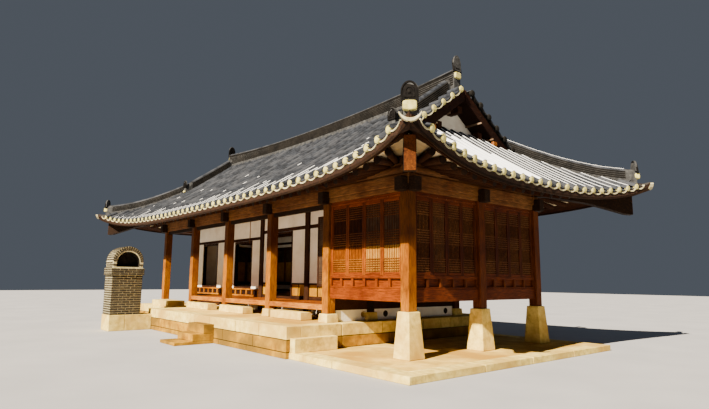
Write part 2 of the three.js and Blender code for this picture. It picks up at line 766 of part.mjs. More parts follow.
function endTile(width, height, thickness) {
  const shape = new THREE.Shape();
  shape.moveTo(-width / 2, 0);
  shape.lineTo(width / 2, 0);
  shape.lineTo(width / 2, height * 0.45);
  shape.absellipse(0, height * 0.45, width / 2, height * 0.55, 0, Math.PI, false);
  const tile = new THREE.ExtrudeGeometry(shape,
    { depth: thickness, bevelEnabled: false, curveSegments: 10 });
  return tile.rotateX(Math.PI / 2).rotateZ(Math.PI / 2);
}

function mainRidge() {
  const stops = steps(-ridgeHalfLength, ridgeHalfLength, 16).map((x) => ({
    x, y: 0, bottom: ridgeLine(x) - 150,
    top: ridgeTopMiddle + ridgeTopLift * Math.abs(x / ridgeHalfLength) ** 2.2,
  }));
  const topZ = ridgeTopMiddle + ridgeTopLift;
  const tiles = [1, -1].map((side) => endTile(250, 400, 40)
    .translate(side > 0 ? ridgeHalfLength - 25 : -ridgeHalfLength - 15, 0, topZ - 85));
  return join([followPath(stops, ridgeSection), ...tiles]);
}

const fallingRidge = { x: 5340, start: 116, end: 1870, height: 340 };
const hipRidge = { start: 5420, end: 7700, height: 290 };

function cornerRidge(sideX, sideY) {
  const falling = steps(fallingRidge.start, fallingRidge.end, 5).map((y) => {
    const z = frontSurface(fallingRidge.x, y);
    return { x: sideX * fallingRidge.x, y: sideY * y, bottom: z - 110, top: z + fallingRidge.height };
  });
  const hip = steps(hipRidge.start, hipRidge.end, 7).map((x) => {
    const z = frontSurface(x, x - hipOffset);
    return { x: sideX * x, y: sideY * (x - hipOffset), bottom: z - 70, top: z + hipRidge.height };
  });
  const foot = hip[hip.length - 1];
  const turn = Math.atan2(sideY, sideX);
  const hipTile = endTile(255, 270, 40).translate(-30, 0, 0).rotateZ(turn)
    .translate(foot.x, foot.y, foot.top - 40);
  const low = falling[falling.length - 1];
  const lowTile = endTile(220, 240, 40).translate(-30, 0, 0).rotateZ((sideY * Math.PI) / 2)
    .translate(low.x, low.y, low.top - 60);
  return join([followPath(falling, smallRidgeSection), followPath(hip, smallRidgeSection),
    hipTile, lowTile]);
}

// The deep angle rafter under each hip, carved at its outer end
function angleRafter(sideX, sideY) {
  const top = (out) => cornerUnderside - hipFall * out - 50;
  const profile = [
    [-600, beamTop + gap], [250, beamTop + gap], [900, 3330], [1500, 3075], [1600, 3060],
    [1600, 3330], [1575, 3350], [1600, 3370], [1600, 3600], [1100, 3670],
    [-600, top(0)],
  ];
  const shape = new THREE.Shape(profile.map(([out, z]) => new THREE.Vector2(out * Math.SQRT2, z)));
  const bar = new THREE.ExtrudeGeometry(shape, { depth: 190, bevelEnabled: false });
  bar.translate(0, 0, -95).rotateX(Math.PI / 2).rotateZ(Math.atan2(sideY, sideX));
  return bar.translate(sideX * halfLength, sideY * halfDepth, 0);
}

// The upright slot that the common rafters leave for an angle rafter
function angleSlot(sideX, sideY) {
  const width = 95 + gap;
  const slot = box(-1500, 3500, -width, width, 3000, 4500);
  return slot.rotateZ(Math.atan2(sideY, sideX)).translate(sideX * halfLength, sideY * halfDepth, 0);
}

// Round rafters along one eave, fanned near its two ends and held by a strip on their ends
function roundBar(from, to, radiusFrom, radiusTo) {
  const length = from.distanceTo(to);
  const bar = new THREE.CylinderGeometry(radiusTo, radiusFrom, length, 6);
  const turn = new THREE.Quaternion().setFromUnitVectors(
    new THREE.Vector3(0, 1, 0), to.clone().sub(from).normalize());
  const middle = from.clone().add(to).multiplyScalar(0.5);
  return bar.applyQuaternion(turn).translate(middle.x, middle.y, middle.z);
}

function rafters(end, eave, place, underside) {
  const bars = [];
  const straight = end - fanStart;
  const last = end + fanReach;
  const count = Math.round(last / rafterPitch);
  for (const along of steps(-last, last, 2 * count)) {
    const over = Math.max(0, Math.abs(along) - straight);
    const inside = Math.sign(along) * (Math.abs(along) - over * (1 - fanShare));
    const outer = eave(along).out - rafterSetBack;
    const thin = 60 * (1 - 0.35 * Math.min(over / fanStart, 1));
    const at = (position, out, radius) => {
      const [x, y] = place(position, out);
      return new THREE.Vector3(x, y, underside(position, out) - rafterClearance - radius);
    };
    bars.push(roundBar(at(along, outer, rafterRadius), at(inside, plate[1] - 15, thin),
      rafterRadius, thin));
  }
  const reach = end - 140;
  const middle = (plate[0] + plate[1]) / 2;
  const width = (plate[1] - plate[0]) / 2;
  const stops = steps(-reach, reach, 12).map((along) => {
    const [x, y] = place(along, middle);
    return { x, y, bottom: beamTop + gap, top: underside(along, plate[1]) - rafterClearance };
  });
  bars.push(followPath(stops, [[-width, 0], [width, 0], [width, 1], [-width, 1]]));
  return join(bars);
}

function addRoof() {
  const sides = [[1, -1], [1, 1], [-1, -1], [-1, 1]];
  const slopes = [frontSlope(-1), frontSlope(1), sideSlope(1), sideSlope(-1)];
  ['front', 'rear', 'right', 'left'].forEach((name, i) => {
    addPiece(`roof_${name}`, toGeometry(slopes[i]), materials.tile);
  });
  addPiece('gable_right', gable(1), materials.plaster);
  addPiece('gable_left', gable(-1), materials.plaster);

  const raised = slopes.map((slope) => shift(slope, gap));
  const slots = seamSlots();
  const onSlopes = (solid) => raised.reduce((rest, slope) => rest.subtract(slope), cut(solid, slots));
  addPiece('main_ridge', toGeometry(onSlopes(mainRidge())), materials.tile);
  const names = ['right_front', 'right_rear', 'left_front', 'left_rear'];
  sides.forEach(([sideX, sideY], i) => {
    addPiece(`corner_ridge_${names[i]}`, toGeometry(onSlopes(cornerRidge(sideX, sideY))),
      materials.tile);
    addPiece(`angle_rafter_${names[i]}`, angleRafter(sideX, sideY), materials.timber);
  });
  const angleSlots = sides.map(([sideX, sideY]) => angleSlot(sideX, sideY));

  for (const [name, side] of [['rafters_front', -1], ['rafters_rear', 1]]) {
    const solid = rafters(halfLength, frontEave,
      (along, out) => [along, side * (halfDepth + out)],
      (along, out) => frontUnderside(along, halfDepth + out));
    addPiece(name, toGeometry(cut(solid, angleSlots)), materials.timber);
  }
  for (const [name, side] of [['rafters_right', 1], ['rafters_left', -1]]) {
    const solid = rafters(halfDepth, sideEave,
      (along, out) => [side * (halfLength + out), along],
      (along, out) => sideUnderside(halfLength + out, along));
    addPiece(name, toGeometry(cut(solid, angleSlots)), materials.timber);
  }
}

addStonework();
addFlueStack();
addPosts();
addBeams();
addFloors();
addPavilionWalls();
addUnderfloorWall();
addRecessedWalls();
addOuterWalls();
addDoor();
addRoof();

export default house;
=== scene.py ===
# A five-bay hanok with a raised corner pavilion, dressed round its CAD frame.
# Metres, +Z up. The long front faces -Y and the pavilion is at the +X end.
import math
import random

import bmesh
import bpy
from mathutils import Matrix, Vector


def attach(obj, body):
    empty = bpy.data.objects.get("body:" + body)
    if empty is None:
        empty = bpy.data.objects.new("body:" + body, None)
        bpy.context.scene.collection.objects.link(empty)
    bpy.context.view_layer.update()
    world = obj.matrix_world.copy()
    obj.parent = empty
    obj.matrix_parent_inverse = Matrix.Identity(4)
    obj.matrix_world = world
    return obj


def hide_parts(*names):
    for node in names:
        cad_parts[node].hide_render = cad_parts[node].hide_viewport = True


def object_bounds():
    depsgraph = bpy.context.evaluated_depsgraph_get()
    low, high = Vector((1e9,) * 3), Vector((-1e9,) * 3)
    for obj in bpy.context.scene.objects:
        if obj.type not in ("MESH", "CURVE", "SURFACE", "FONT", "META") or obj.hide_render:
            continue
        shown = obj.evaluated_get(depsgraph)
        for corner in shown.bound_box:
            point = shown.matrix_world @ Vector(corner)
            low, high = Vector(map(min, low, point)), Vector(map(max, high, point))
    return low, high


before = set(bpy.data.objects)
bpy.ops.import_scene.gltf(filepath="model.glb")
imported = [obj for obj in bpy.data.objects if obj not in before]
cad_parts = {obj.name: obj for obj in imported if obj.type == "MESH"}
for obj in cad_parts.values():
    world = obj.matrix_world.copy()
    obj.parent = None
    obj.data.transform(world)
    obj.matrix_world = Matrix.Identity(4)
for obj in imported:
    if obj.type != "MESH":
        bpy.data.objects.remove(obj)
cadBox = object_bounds()
print("frame loaded")

# The grid of posts and the main levels
grid = {"halfLength": 6.0, "halfDepth": 2.1, "bay": 2.4, "innerRow": -0.95, "post": 0.21,
        "beamBottom": 3.17, "beamTop": 3.49}
halfLength, halfDepth = grid["halfLength"], grid["halfDepth"]
hipOffset = halfLength - halfDepth
postX = [halfLength - i * grid["bay"] for i in range(6)]
xAxis, upAxis = Vector((1, 0, 0)), Vector((0, 0, 1))
# Pieces that meet stay this far apart
hair = 0.0003
houseEnds = ((1, "right"), (-1, "left"))
# Each corner of the house: the signs of its x and y, its name, and the way out along its hip
hipCorners = [(sx, sy, f"{nameX}_{nameY}", Vector((sx, sy, 0)).normalized())
              for sx, nameX in houseEnds for sy, nameY in ((-1, "front"), (1, "rear"))]
scene = bpy.context.scene
shapes = []


def linear(code):
    # A hex sRGB colour as linear red, green, blue and alpha
    parts = [int(code[i:i + 2], 16) / 255 for i in (1, 3, 5)]
    return [c / 12.92 if c <= 0.04045 else ((c + 0.055) / 1.055) ** 2.4 for c in parts] + [1.0]


def addNode(tree, kind, settings=None, links=None):
    # Adds a node, sets its values, its sockets by name or number and its colour stops, and links it
    node = tree.nodes.new(kind)
    for key, value in (settings or {}).items():
        if key == "stops":
            ramp = node.color_ramp
            while len(ramp.elements) < len(value):
                ramp.elements.new(0.5)
            for element, (place, colour) in zip(ramp.elements, value):
                element.position = place
                element.color = linear(colour)
        elif isinstance(key, int) or key in node.inputs:
            node.inputs[key].default_value = value
        else:
            setattr(node, key, value)
    for key, source in (links or {}).items():
        tree.links.new(source, node.inputs[key])
    return node


def bake(obj):
    # The evaluated mesh takes the place of the object's modifiers
    graph = bpy.context.evaluated_depsgraph_get()
    mesh = bpy.data.meshes.new_from_object(obj.evaluated_get(graph), depsgraph=graph)
    obj.modifiers.clear()
    obj.data = mesh
    return obj


def finishPiece(obj, slot, body="house", replaced=()):
    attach(obj, body)
    if replaced:
        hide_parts(*replaced)
    return obj


def newObject(name, points, faces, material=None):
    mesh = bpy.data.meshes.new(name)
    mesh.from_pydata(points, (), faces)
    mesh.update()
    if faces:
        # every closed body ends with its faces looking outward, however it was drawn
        editable = bmesh.new()
        editable.from_mesh(mesh)
        bmesh.ops.recalc_face_normals(editable, faces=editable.faces)
        editable.to_mesh(mesh)
        editable.free()
    if material:
        mesh.materials.append(material)
    obj = bpy.data.objects.new(name, mesh)
    scene.collection.objects.link(obj)
    return obj


def coverNode(name, material):
    # Gives one of the frame's own pieces its finish
    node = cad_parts[name]
    node.data.materials.clear()
    node.data.materials.append(material)


def addSolid(name, points, faces, material, slot, bevel=0.004, body="house", replaced=()):
    # One piece of closed bodies with eased edges
    obj = newObject(name, points, faces, material)
    if bevel:
        easing = obj.modifiers.new("easing", "BEVEL")
        easing.width = bevel
        easing.segments = 1 if bevel < 0.008 else 2
        bake(obj)
    return finishPiece(obj, slot, body, replaced)


def boxMesh(boxes):
    # Each box is two x, two y and two z; either one of a pair may come first
    points, faces = [], []
    for box in boxes:
        (x0, x1), (y0, y1), (z0, z1) = (sorted(box[i:i + 2]) for i in (0, 2, 4))
        n = len(points)
        points += [(x, y, z) for z in (z0, z1) for x, y in ((x0, y0), (x1, y0), (x1, y1), (x0, y1))]
        faces += [[n + i for i in face] for face in (
            (0, 3, 2, 1), (4, 5, 6, 7), (0, 1, 5, 4), (1, 2, 6, 5), (2, 3, 7, 6), (3, 0, 4, 7))]
    return points, faces


def addBlocks(name, boxes, material, slot, bevel=0.004, body="house", replaced=()):
    return addSolid(name, *boxMesh(boxes), material, slot, bevel, body, replaced)


def turned(boxes, place, turn):
    # Boxes drawn along a wall that faces -Y, moved to their place by quarter turns about +Z
    moved = []
    for u0, u1, v0, v1, z0, z1 in boxes:
        corners = [(u0, v0), (u1, v1)]
        for _ in range(turn):
            corners = [(-v, u) for u, v in corners]
        xs, ys = ([place[axis] + corner[axis] for corner in corners] for axis in (0, 1))
        moved.append((*xs, *ys, z0, z1))
    return moved


def loft(sections):
    # Skins a row of rings with the same number of points, and caps the two ends
    points = [p for ring in sections for p in ring]
    count = len(sections[0])
    faces = []
    for i in range(len(sections) - 1):
        for j in range(count):
            a, b = i * count + j, i * count + (j + 1) % count
            faces.append((a, b, b + count, a + count))
    last = (len(sections) - 1) * count
    faces.append(tuple(range(count))[::-1])
    faces.append(tuple(last + j for j in range(count)))
    return points, faces


def joinLofts(lofts):
    points, faces = [], []
    for morePoints, moreFaces in lofts:
        n = len(points)
        points += morePoints
        faces += [tuple(n + i for i in face) for face in moreFaces]
    return points, faces


def circle(radius, sides):
    turns = [2 * math.pi * i / sides for i in range(sides)]
    return [(radius * math.cos(turn), radius * math.sin(turn)) for turn in turns]


def arch(radius, sides):
    # Half a circle with both of its feet
    turns = [math.pi * i / sides for i in range(sides + 1)]
    return [(radius * math.cos(turn), radius * math.sin(turn)) for turn in turns]


def spun(outline, sides, stops):
    # Skins circles or arches along X; each stop is a place on X and a radius
    return loft([[(x, y, z) for y, z in outline(radius, sides)] for x, radius in stops])


def addShape(name, points, faces):
    # A small shape that the node tree repeats; it is removed at the end
    obj = newObject("shape_" + name, points, faces)
    shapes.append(obj)
    return obj


def spaced(start, end, count):
    return [start + (end - start) * i / count for i in range(count + 1)]


def addTurn(tree, start, along, upward):
    # A copy's turn: its X axis along a line and its Z axis up, with a small random tilt
    turn = addNode(tree, "FunctionNodeAxesToRotation",
                   {"primary_axis": "X", "secondary_axis": "Z"}, {0: along, 1: upward})
    less = addNode(tree, "ShaderNodeMath", {"operation": "MULTIPLY", 1: -1.0},
                   {0: start.outputs["Tilt"]})
    tilt = addNode(tree, "FunctionNodeRandomValue", {"data_type": "FLOAT_VECTOR"},
                   {0: less.outputs[0], 1: start.outputs["Tilt"], "Seed": start.outputs["Seed"]})
    return addNode(tree, "FunctionNodeRotateRotation", {"rotation_space": "LOCAL"},
                   {0: turn.outputs[0], 1: tilt.outputs[0]}).outputs[0]


def makePlaceTree():
    # Copies of one shape on points that carry their own direction and size
    tree = bpy.data.node_groups.new("place copies", "GeometryNodeTree")
    tree.interface.new_socket("Geometry", in_out="OUTPUT", socket_type="NodeSocketGeometry")
    for label, kind in (("Geometry", "Geometry"), ("Shape", "Object"), ("Finish", "Material"),
                        ("Tilt", "Float"), ("Spread", "Float"), ("Seed", "Int")):
        tree.interface.new_socket(label, in_out="INPUT", socket_type="NodeSocket" + kind)
    start = addNode(tree, "NodeGroupInput")
    along, upward, stretch = (addNode(tree, "GeometryNodeInputNamedAttribute",
                                      {"data_type": "FLOAT_VECTOR", "Name": label}).outputs[0]
                              for label in ("along", "upward", "stretch"))
    shape = addNode(tree, "GeometryNodeObjectInfo", {}, {"Object": start.outputs["Shape"]})
    low, high = (addNode(tree, "ShaderNodeMath", {"operation": operation, 0: 1.0},
                         {1: start.outputs["Spread"]}).outputs[0] for operation in ("SUBTRACT", "ADD"))
    size = addNode(tree, "FunctionNodeRandomValue", {"data_type": "FLOAT"},
                   {2: low, 3: high, "Seed": start.outputs["Seed"]})
    scale = addNode(tree, "ShaderNodeVectorMath", {"operation": "SCALE"},
                    {0: stretch, "Scale": size.outputs[1]})
    copies = addNode(tree, "GeometryNodeInstanceOnPoints", {}, {
        "Points": start.outputs["Geometry"], "Instance": shape.outputs["Geometry"],
        "Rotation": addTurn(tree, start, along, upward), "Scale": scale.outputs[0]})
    real = addNode(tree, "GeometryNodeRealizeInstances", {}, {"Geometry": copies.outputs[0]})
    done = addNode(tree, "GeometryNodeSetMaterial", {},
                   {"Geometry": real.outputs[0], "Material": start.outputs["Finish"]})
    addNode(tree, "NodeGroupOutput", {}, {0: done.outputs[0]})
    return tree


placeTree = makePlaceTree()


def setPlace(point, along, up, out=0.0, rise=0.0, lean=0.0, stretch=(1, 1, 1)):
    # One copy: its point moved along its X axis and up, and its face leaning back
    return point + along * out + up * rise, (along + up * lean).normalized(), up, stretch


def placeCopies(name, shape, places, material, slot, tilt=0.0, spread=0.0, seed=1, replaced=()):
    # Each place is a point, the way the copy's X axis looks, the way it stands up, and its stretch
    obj = newObject(name, [p[0] for p in places], [])
    for label, column in (("along", 1), ("upward", 2), ("stretch", 3)):
        layer = obj.data.attributes.new(label, "FLOAT_VECTOR", "POINT")
        layer.data.foreach_set("vector", [c for p in places for c in p[column]])
    values = {"Shape": shape, "Finish": material, "Tilt": tilt, "Spread": spread, "Seed": seed}
    modifier = obj.modifiers.new("nodes", "NODES")
    modifier.node_group = placeTree
    for item in placeTree.interface.items_tree:
        if item.in_out == "INPUT" and item.name in values:
            modifier[item.identifier] = values[item.name]
    return finishPiece(bake(obj), slot, replaced=replaced)


def layRows(name, shape, lines, material, length, tilt, seed):
    # Copies laid end to end along lines, stretched a little so that the last one ends at the line's end
    places = []
    for line in lines:
        points = [Vector(p) for p in line]
        reach = [0.0]
        for a, b in zip(points, points[1:]):
            reach.append(reach[-1] + (b - a).length)
        count = max(1, math.ceil(reach[-1] / length - 0.2))
        step, i, marks = reach[-1] / count, 0, []
        for k in range(count + 1):
            while i < len(points) - 2 and reach[i + 1] < k * step:
                i += 1
            share = (k * step - reach[i]) / (reach[i + 1] - reach[i])
            marks.append(points[i].lerp(points[i + 1], share))
        places += [(a, (b - a).normalized(), upAxis, (step / length, 1, 1)) for a, b in zip(marks, marks[1:])]
    return placeCopies(name, shape, places, material, "tile", tilt, seed=seed)


def newMaterial(name, roughness, shine=0.2):
    # An opaque surface without a pattern yet, and the object's own coordinates for one
    material = bpy.data.materials.new(name)
    material.use_nodes = True
    tree = material.node_tree
    shader = next(n for n in tree.nodes if n.type == "BSDF_PRINCIPLED")
    shader.inputs["Roughness"].default_value = roughness
    shader.inputs["Specular IOR Level"].default_value = shine
    return material, tree, shader, addNode(tree, "ShaderNodeTexCoord").outputs["Object"]


def addNoise(tree, coords, scale, detail, roughness=0.5, distortion=0.0):
    return addNode(tree, "ShaderNodeTexNoise", {"Scale": scale, "Detail": detail, "Roughness": roughness,
                                                "Distortion": distortion}, {"Vector": coords}).outputs["Fac"]


def addRamp(tree, source, *stops):
    return addNode(tree, "ShaderNodeValToRGB", {"stops": stops}, {"Fac": source}).outputs[0]


def addMath(tree, operation, source, value=0.0):
    return addNode(tree, "ShaderNodeMath", {"operation": operation, 1: value}, {0: source}).outputs[0]


def addMix(tree, share, under, over, blend="MIX"):
    # One colour over another; each value is a number, a hex colour or another node's output
    node = addNode(tree, "ShaderNodeMix", {"data_type": "RGBA", "blend_type": blend})
    for key, value in ((0, share), (6, under), (7, over)):
        if isinstance(value, bpy.types.NodeSocket):
            tree.links.new(value, node.inputs[key])
        else:
            node.inputs[key].default_value = linear(value) if isinstance(value, str) else value
    return node.outputs[2]


def addBump(tree, height, strength, depth):
    return addNode(tree, "ShaderNodeBump", {"Strength": strength, "Distance": depth}, {"Height": height})


def endMaterial(tree, shader, colour, bump):
    tree.links.new(colour, shader.inputs["Base Color"])
    tree.links.new(bump.outputs[0], shader.inputs["Normal"])


def makePine(name, grain, tones, roughness=0.62, shadeTint=None):
    # Old sawn pine under worn oil: long fibres, drying checks and patches of weathering. The optional tint is
    # painted shade: it darkens the wood above the height where the eaves' shadow line falls
    material, tree, shader, coords = newMaterial(name, roughness, 0.1)
    pale, middle, dark = tones
    along = addNode(tree, "ShaderNodeMapping", {"Scale": grain}, {"Vector": coords}).outputs[0]
    fibre = addNoise(tree, along, 7.0, 8.0, 0.62, 0.4)
    weather = addRamp(tree, addNoise(tree, coords, 1.7, 3.0), (0.35, "#b08c6c"), (0.6, "#ffffff"))
    checks = addRamp(tree, addNoise(tree, along, 16.0, 2.0, distortion=0.2),
                     (0.29, "#1b0f08"), (0.33, "#ffffff"))
    colour = addRamp(tree, fibre, (0.3, dark), (0.5, middle), (0.72, pale))
    colour = addMix(tree, 0.7, colour, weather, "MULTIPLY")
    colour = addMix(tree, 0.75, colour, checks, "MULTIPLY")
    # Painted shade: the tint comes in from 2.1 to 2.35 m up, where the eaves' shadow falls
    if shadeTint:
        height = addNode(tree, "ShaderNodeSeparateXYZ", {}, {0: coords}).outputs["Z"]
        shade = addNode(tree, "ShaderNodeMapRange", {"From Min": 2.1, "From Max": 2.35}, {"Value": height})
        colour = addMix(tree, shade.outputs[0], colour, shadeTint, "MULTIPLY")
    deep, fine = addBump(tree, checks, 0.35, 0.004), addBump(tree, fibre, 0.25, 0.002)
    tree.links.new(deep.outputs[0], fine.inputs["Normal"])
    endMaterial(tree, shader, colour, fine)
    return material


# Fibres run along the timber: nine times finer across it than along it
upright, alongX, alongY = (9, 9, 0.8), (0.8, 9, 9), (9, 0.8, 9)
endOn, thinBar = (5, 5, 5), (4, 4, 4)
sunned = ("#a05200", "#793b00", "#4a2400")
amber = ("#bc7800", "#925800", "#5a3400")
russet = ("#8f4200", "#6d2e00", "#431a00")
# Near-black tones that paint the shade on timber out of the sun
nearBlackTones = ("#4a2a12", "#30190a", "#180c05")
beamTone = ("#8a5a2e", "#66421f", "#3c2612")
# Warm orange-brown frames of the sunlit leaves, greyed with painted shade above the eaves' shadow line
stilePine = makePine("oiled pine of the leaves, upright", upright, sunned, shadeTint="#a89a94")
# The most golden of the timber: front posts in full sun, their heads darkened with painted shade where the
# eaves' shadow falls
postPine = makePine("oiled pine, upright", upright, amber, shadeTint="#938888")
# The same gold running sideways, on the low frames behind the veranda
brightPine = makePine("bright oiled pine, along the front", alongX, amber)
# Warm worn floor boards
beamPineX = makePine("oiled pine, along the front", alongX, sunned)
# Redder, deeper rails and panels of the pavilion's sunlit walls, and their upright muntins
panelPineX = makePine("russet pine, along the front", alongX, russet)
russetUpright = makePine("russet pine, upright", upright, russet)
# Nearly black brown for timber that never sees the sun, in each direction: painted shade
darkPineX = makePine("near-black pine, along the front", alongX, nearBlackTones, roughness=0.75)
darkPineY = makePine("near-black pine, along the ends", alongY, nearBlackTones, roughness=0.75)
darkPineZ = makePine("near-black pine, upright", upright, nearBlackTones, roughness=0.75)
# Dry grey-brown of the big beams, flatter than the oiled wood below them
bigBeamX = makePine("weathered beam, along the front", alongX, beamTone, roughness=0.7)
bigBeamY = makePine("weathered beam, along the ends", alongY, beamTone, roughness=0.7)
# Near-black ends and eave boards that draw a dark line under the pale lime; on the rafter caps it is end
# grain darkened further as painted shade, and on the planks under the front beam it is painted shade
blackPine = makePine("blackened pine", endOn, ("#33200f", "#1f1208", "#0f0804"), roughness=0.8)
# Dark wine-brown bargeboards and sunk panels
redBrown = makePine("red-brown stained board", alongY, ("#341a0e", "#221008", "#120804"), roughness=0.7)
# Bright yellow boards in the low panels behind the veranda
honeyPine = makePine("fresh pine panels", upright, ("#c89000", "#a67400", "#745000"))
# The light, worn nose of the veranda
goldenPine = makePine("sun-bleached pine, along the front", alongX, ("#c98a2c", "#a8681a", "#74440c"))
# Rough brown faces across the grain, on the angle rafters
endGrain = makePine("weathered end grain", endOn, ("#74400f", "#552c08", "#341a04"), roughness=0.8)
# Fine orange-brown bars and the paler bars that cross them, both darkened upwards with painted shade
latticePine = makePine("thin lattice pine", upright, ("#955200", "#703b00", "#442200"), shadeTint="#8c7a70")
barPine = makePine("worn cross bars of the lattice", thinBar, ("#9a6018", "#74430c", "#4a2806"),
                   shadeTint="#b0a090")
# Silvery battens under the gable's tiles
greyedPine = makePine("greyed batten, along the front", alongX, ("#94806c", "#74604e", "#4c3c30"))
# Light straw-brown feet of the bargeboards
palePine = makePine("bleached pine ends", endOn, ("#b87838", "#905624", "#5e3412"))
# Boards seen through the lattice: a bright copy where the sun reaches them and an almost black copy above,
# painted shade
boardPine = makePine("boards behind the lattice", upright, ("#964e00", "#703500", "#401a00"))
shadedBoard = makePine("dark boards behind the lattice", upright, ("#241005", "#170a03", "#0c0401"))
# The pavilion's end wall stands out of the sun: the same oil in duller, redder copies that are painted shade,
# also used for the rear and right posts
shadedPineY = makePine("dull brown pine, along the ends", alongY, ("#783a12", "#56260a", "#341404"))
shadedUpright = makePine("dull brown pine, upright", upright, ("#5a2808", "#401a04", "#260e02"))
shadedPost = makePine("oiled pine out of the sun, upright", upright, ("#743a08", "#542804", "#321602"))
shadedBar = makePine("dull lattice bars", thinBar, ("#7c4e26", "#5c3818", "#38200c"))


def makeMottled(name, tones, scale, roughness, grit, gritDepth, stain=None, stainScale=0.6, shine=0.2):
    # A mineral surface: mottled colour, fine grit in the bump and, where asked, large stains
    material, tree, shader, coords = newMaterial(name, roughness, shine)
    low, middle, high = tones
    colour = addRamp(tree, addNoise(tree, coords, scale, 7.0, 0.6), (0.32, low), (0.5, middle), (0.68, high))
    if stain:
        mask = addRamp(tree, addNoise(tree, coords, stainScale, 4.0), (0.45, "#000000"), (0.62, "#ffffff"))
        colour = addMix(tree, mask, colour, stain)
    endMaterial(tree, shader, colour, addBump(tree, addNoise(tree, coords, grit, 5.0, 0.7), 0.5, gritDepth))
    return material


# Pale cream stone, warmed by dust in soft wide stains
granite = makeMottled("dressed cream granite", ("#bca050", "#e0c66c", "#f4dc86"), 7.0, 0.85, 60.0, 0.004,
                      stain="#bd9a4c", stainScale=0.9)
# The lower courses: the same stone, deep ochre where rain throws up sand
ochreGranite = makeMottled("dusty ochre granite", ("#80560a", "#a67810", "#c49424"), 5.0, 0.88, 60.0, 0.004,
                           stain="#6f5216", stainScale=0.8)
# Dark joints that part the stones: a mortar colour made darker still, painted shade in the gaps
bedding = makeMottled("shaded bed between stones", ("#2c200e", "#413017", "#574222"), 9.0, 0.95, 60.0, 0.003)
# The trodden floor inside the edge stones, flat and sandy
packedLime = makeMottled("packed lime and sand floor", ("#bc9844", "#dcb858", "#eecc70"), 3.0, 0.95, 70.0,
                         0.004, stain="#b4872e", stainScale=0.5)
# Even off-white wall faces, barely uneven from the trowel
plaster = makeMottled("lime plaster", ("#e6ddcc", "#f2ebdc", "#f8f3e8"), 2.5, 0.9, 30.0, 0.002)
# Matt honey-brown sheets behind the bars, and a dark copy: painted shade above the eaves' shadow line and on
# the walls out of the sun, also used behind the door's bars
paper = makeMottled("mulberry paper", ("#96661c", "#ac7a28", "#be8e3a"), 6.0, 0.8, 80.0, 0.0005)
darkPaper = makeMottled("dark mulberry paper", ("#2c2016", "#3c2c1e", "#50402c"), 6.0, 0.8, 80.0, 0.0005)
# Creamy lumps of lime in the eave tiles, and the greyer wash on the lips between them
limePlug = makeMottled("hand-set lime mortar", ("#a29a50", "#c2b870", "#d4cc8e"), 14.0, 0.9, 70.0, 0.004)
limeLip = makeMottled("lime-washed tile lips", ("#8d8668", "#b3ab88", "#cbc4a4"), 9.0, 0.85, 70.0, 0.003)
# Blue-black fired clay with lighter weathered patches
clayTile = makeMottled("unglazed grey roof tile", ("#14161b", "#23262d", "#363a42"), 6.0, 0.72, 45.0, 0.003,
                       stain="#3c3e44", stainScale=2.3)
# Duller, browner clay in the ridges, almost without shine
ridgeClay = makeMottled("old ridge tile", ("#131211", "#1c1a18", "#262320"), 3.0, 0.8, 45.0, 0.003,
                        shine=0.08)
# The darkest clay, whose coarse grain shows the relief of the end tiles
endClay = makeMottled("blackened end tile", ("#0a0908", "#121010", "#1c1a18"), 14.0, 0.8, 30.0, 0.008,
                      shine=0.05)
# Mid-grey bed that shows as thin lines between the ridge's courses
ridgeBed = makeMottled("clay and lime bed of the ridge", ("#29292a", "#3a3a3b", "#4c4c4c"), 12.0, 0.95,
                       60.0, 0.004)
# Cool dark bricks, their lining, dark with soot and with painted shade, and the pale joints between them
brickClay = makeMottled("blue-grey brick", ("#2b261c", "#3d3629", "#514938"), 9.0, 0.9, 60.0, 0.003)
sootAndShadeBrick = makeMottled("sooty brick with painted shade", ("#15120f", "#241f19", "#3a3228"), 9.0, 0.95, 60.0, 0.003)
mortar = makeMottled("white lime mortar", ("#a59a74", "#c0b68e", "#d2c9a6"), 12.0, 0.92, 60.0, 0.003)
# The smoothest surface: a soft yellow-brown sheen on the room's floor
oiledFloor = makeMottled("oiled paper floor", ("#a4783b", "#b98c4a", "#c99d5c"), 3.0, 0.6, 40.0, 0.001)
# Flaking brown rust on nails and the hanging rod
iron = makeMottled("rusted iron", ("#4a2a18", "#6e4628", "#8f6644"), 30.0, 0.7, 120.0, 0.001)
# Cold white, slightly crusted, against the dark clay
oldSnow = makeMottled("thin old snow", ("#e6ebf2", "#f4f6fa", "#ffffff"), 20.0, 0.7, 60.0, 0.003)

# How far from the middle of the house the plaster between the rafters reaches
roofBedReach = (("X", 7.3), ("Y", 3.4))


def makeRoofBody():
    # One slab: clay on top, plaster between the rafters below, and dark boards round its edge
    material, tree, shader, coords = newMaterial("roof bed", 0.85)
    normal = addNode(tree, "ShaderNodeNewGeometry").outputs["Normal"]
    up = addNode(tree, "ShaderNodeSeparateXYZ", {}, {0: normal}).outputs["Z"]
    cloud, grain = addNoise(tree, coords, 3.0, 6.0), addNoise(tree, coords, 20.0, 5.0)
    clay = addRamp(tree, cloud, (0.3, "#1f1d1b"), (0.7, "#3a3734"))
    under = addRamp(tree, cloud, (0.3, "#d6c09a"), (0.7, "#ecdcb8"))
    board = addRamp(tree, grain, (0.3, "#1c1009"), (0.7, "#352012"))
    isTop, isUnder = addMath(tree, "GREATER_THAN", up, 0.25), addMath(tree, "LESS_THAN", up, -0.25)
    place = addNode(tree, "ShaderNodeSeparateXYZ", {}, {0: coords})
    for axis, reach in roofBedReach:
        inside = addMath(tree, "LESS_THAN", addMath(tree, "ABSOLUTE", place.outputs[axis]), reach)
        both = addNode(tree, "ShaderNodeMath", {"operation": "MULTIPLY"}, {0: isUnder, 1: inside})
        isUnder = both.outputs[0]
    colour = addMix(tree, isUnder, addMix(tree, isTop, board, clay), under)
    endMaterial(tree, shader, colour, addBump(tree, grain, 0.4, 0.004))
    return material


# Dark clay above and warm pale plaster between the rafters below
roofBody = makeRoofBody()
print("materials made")

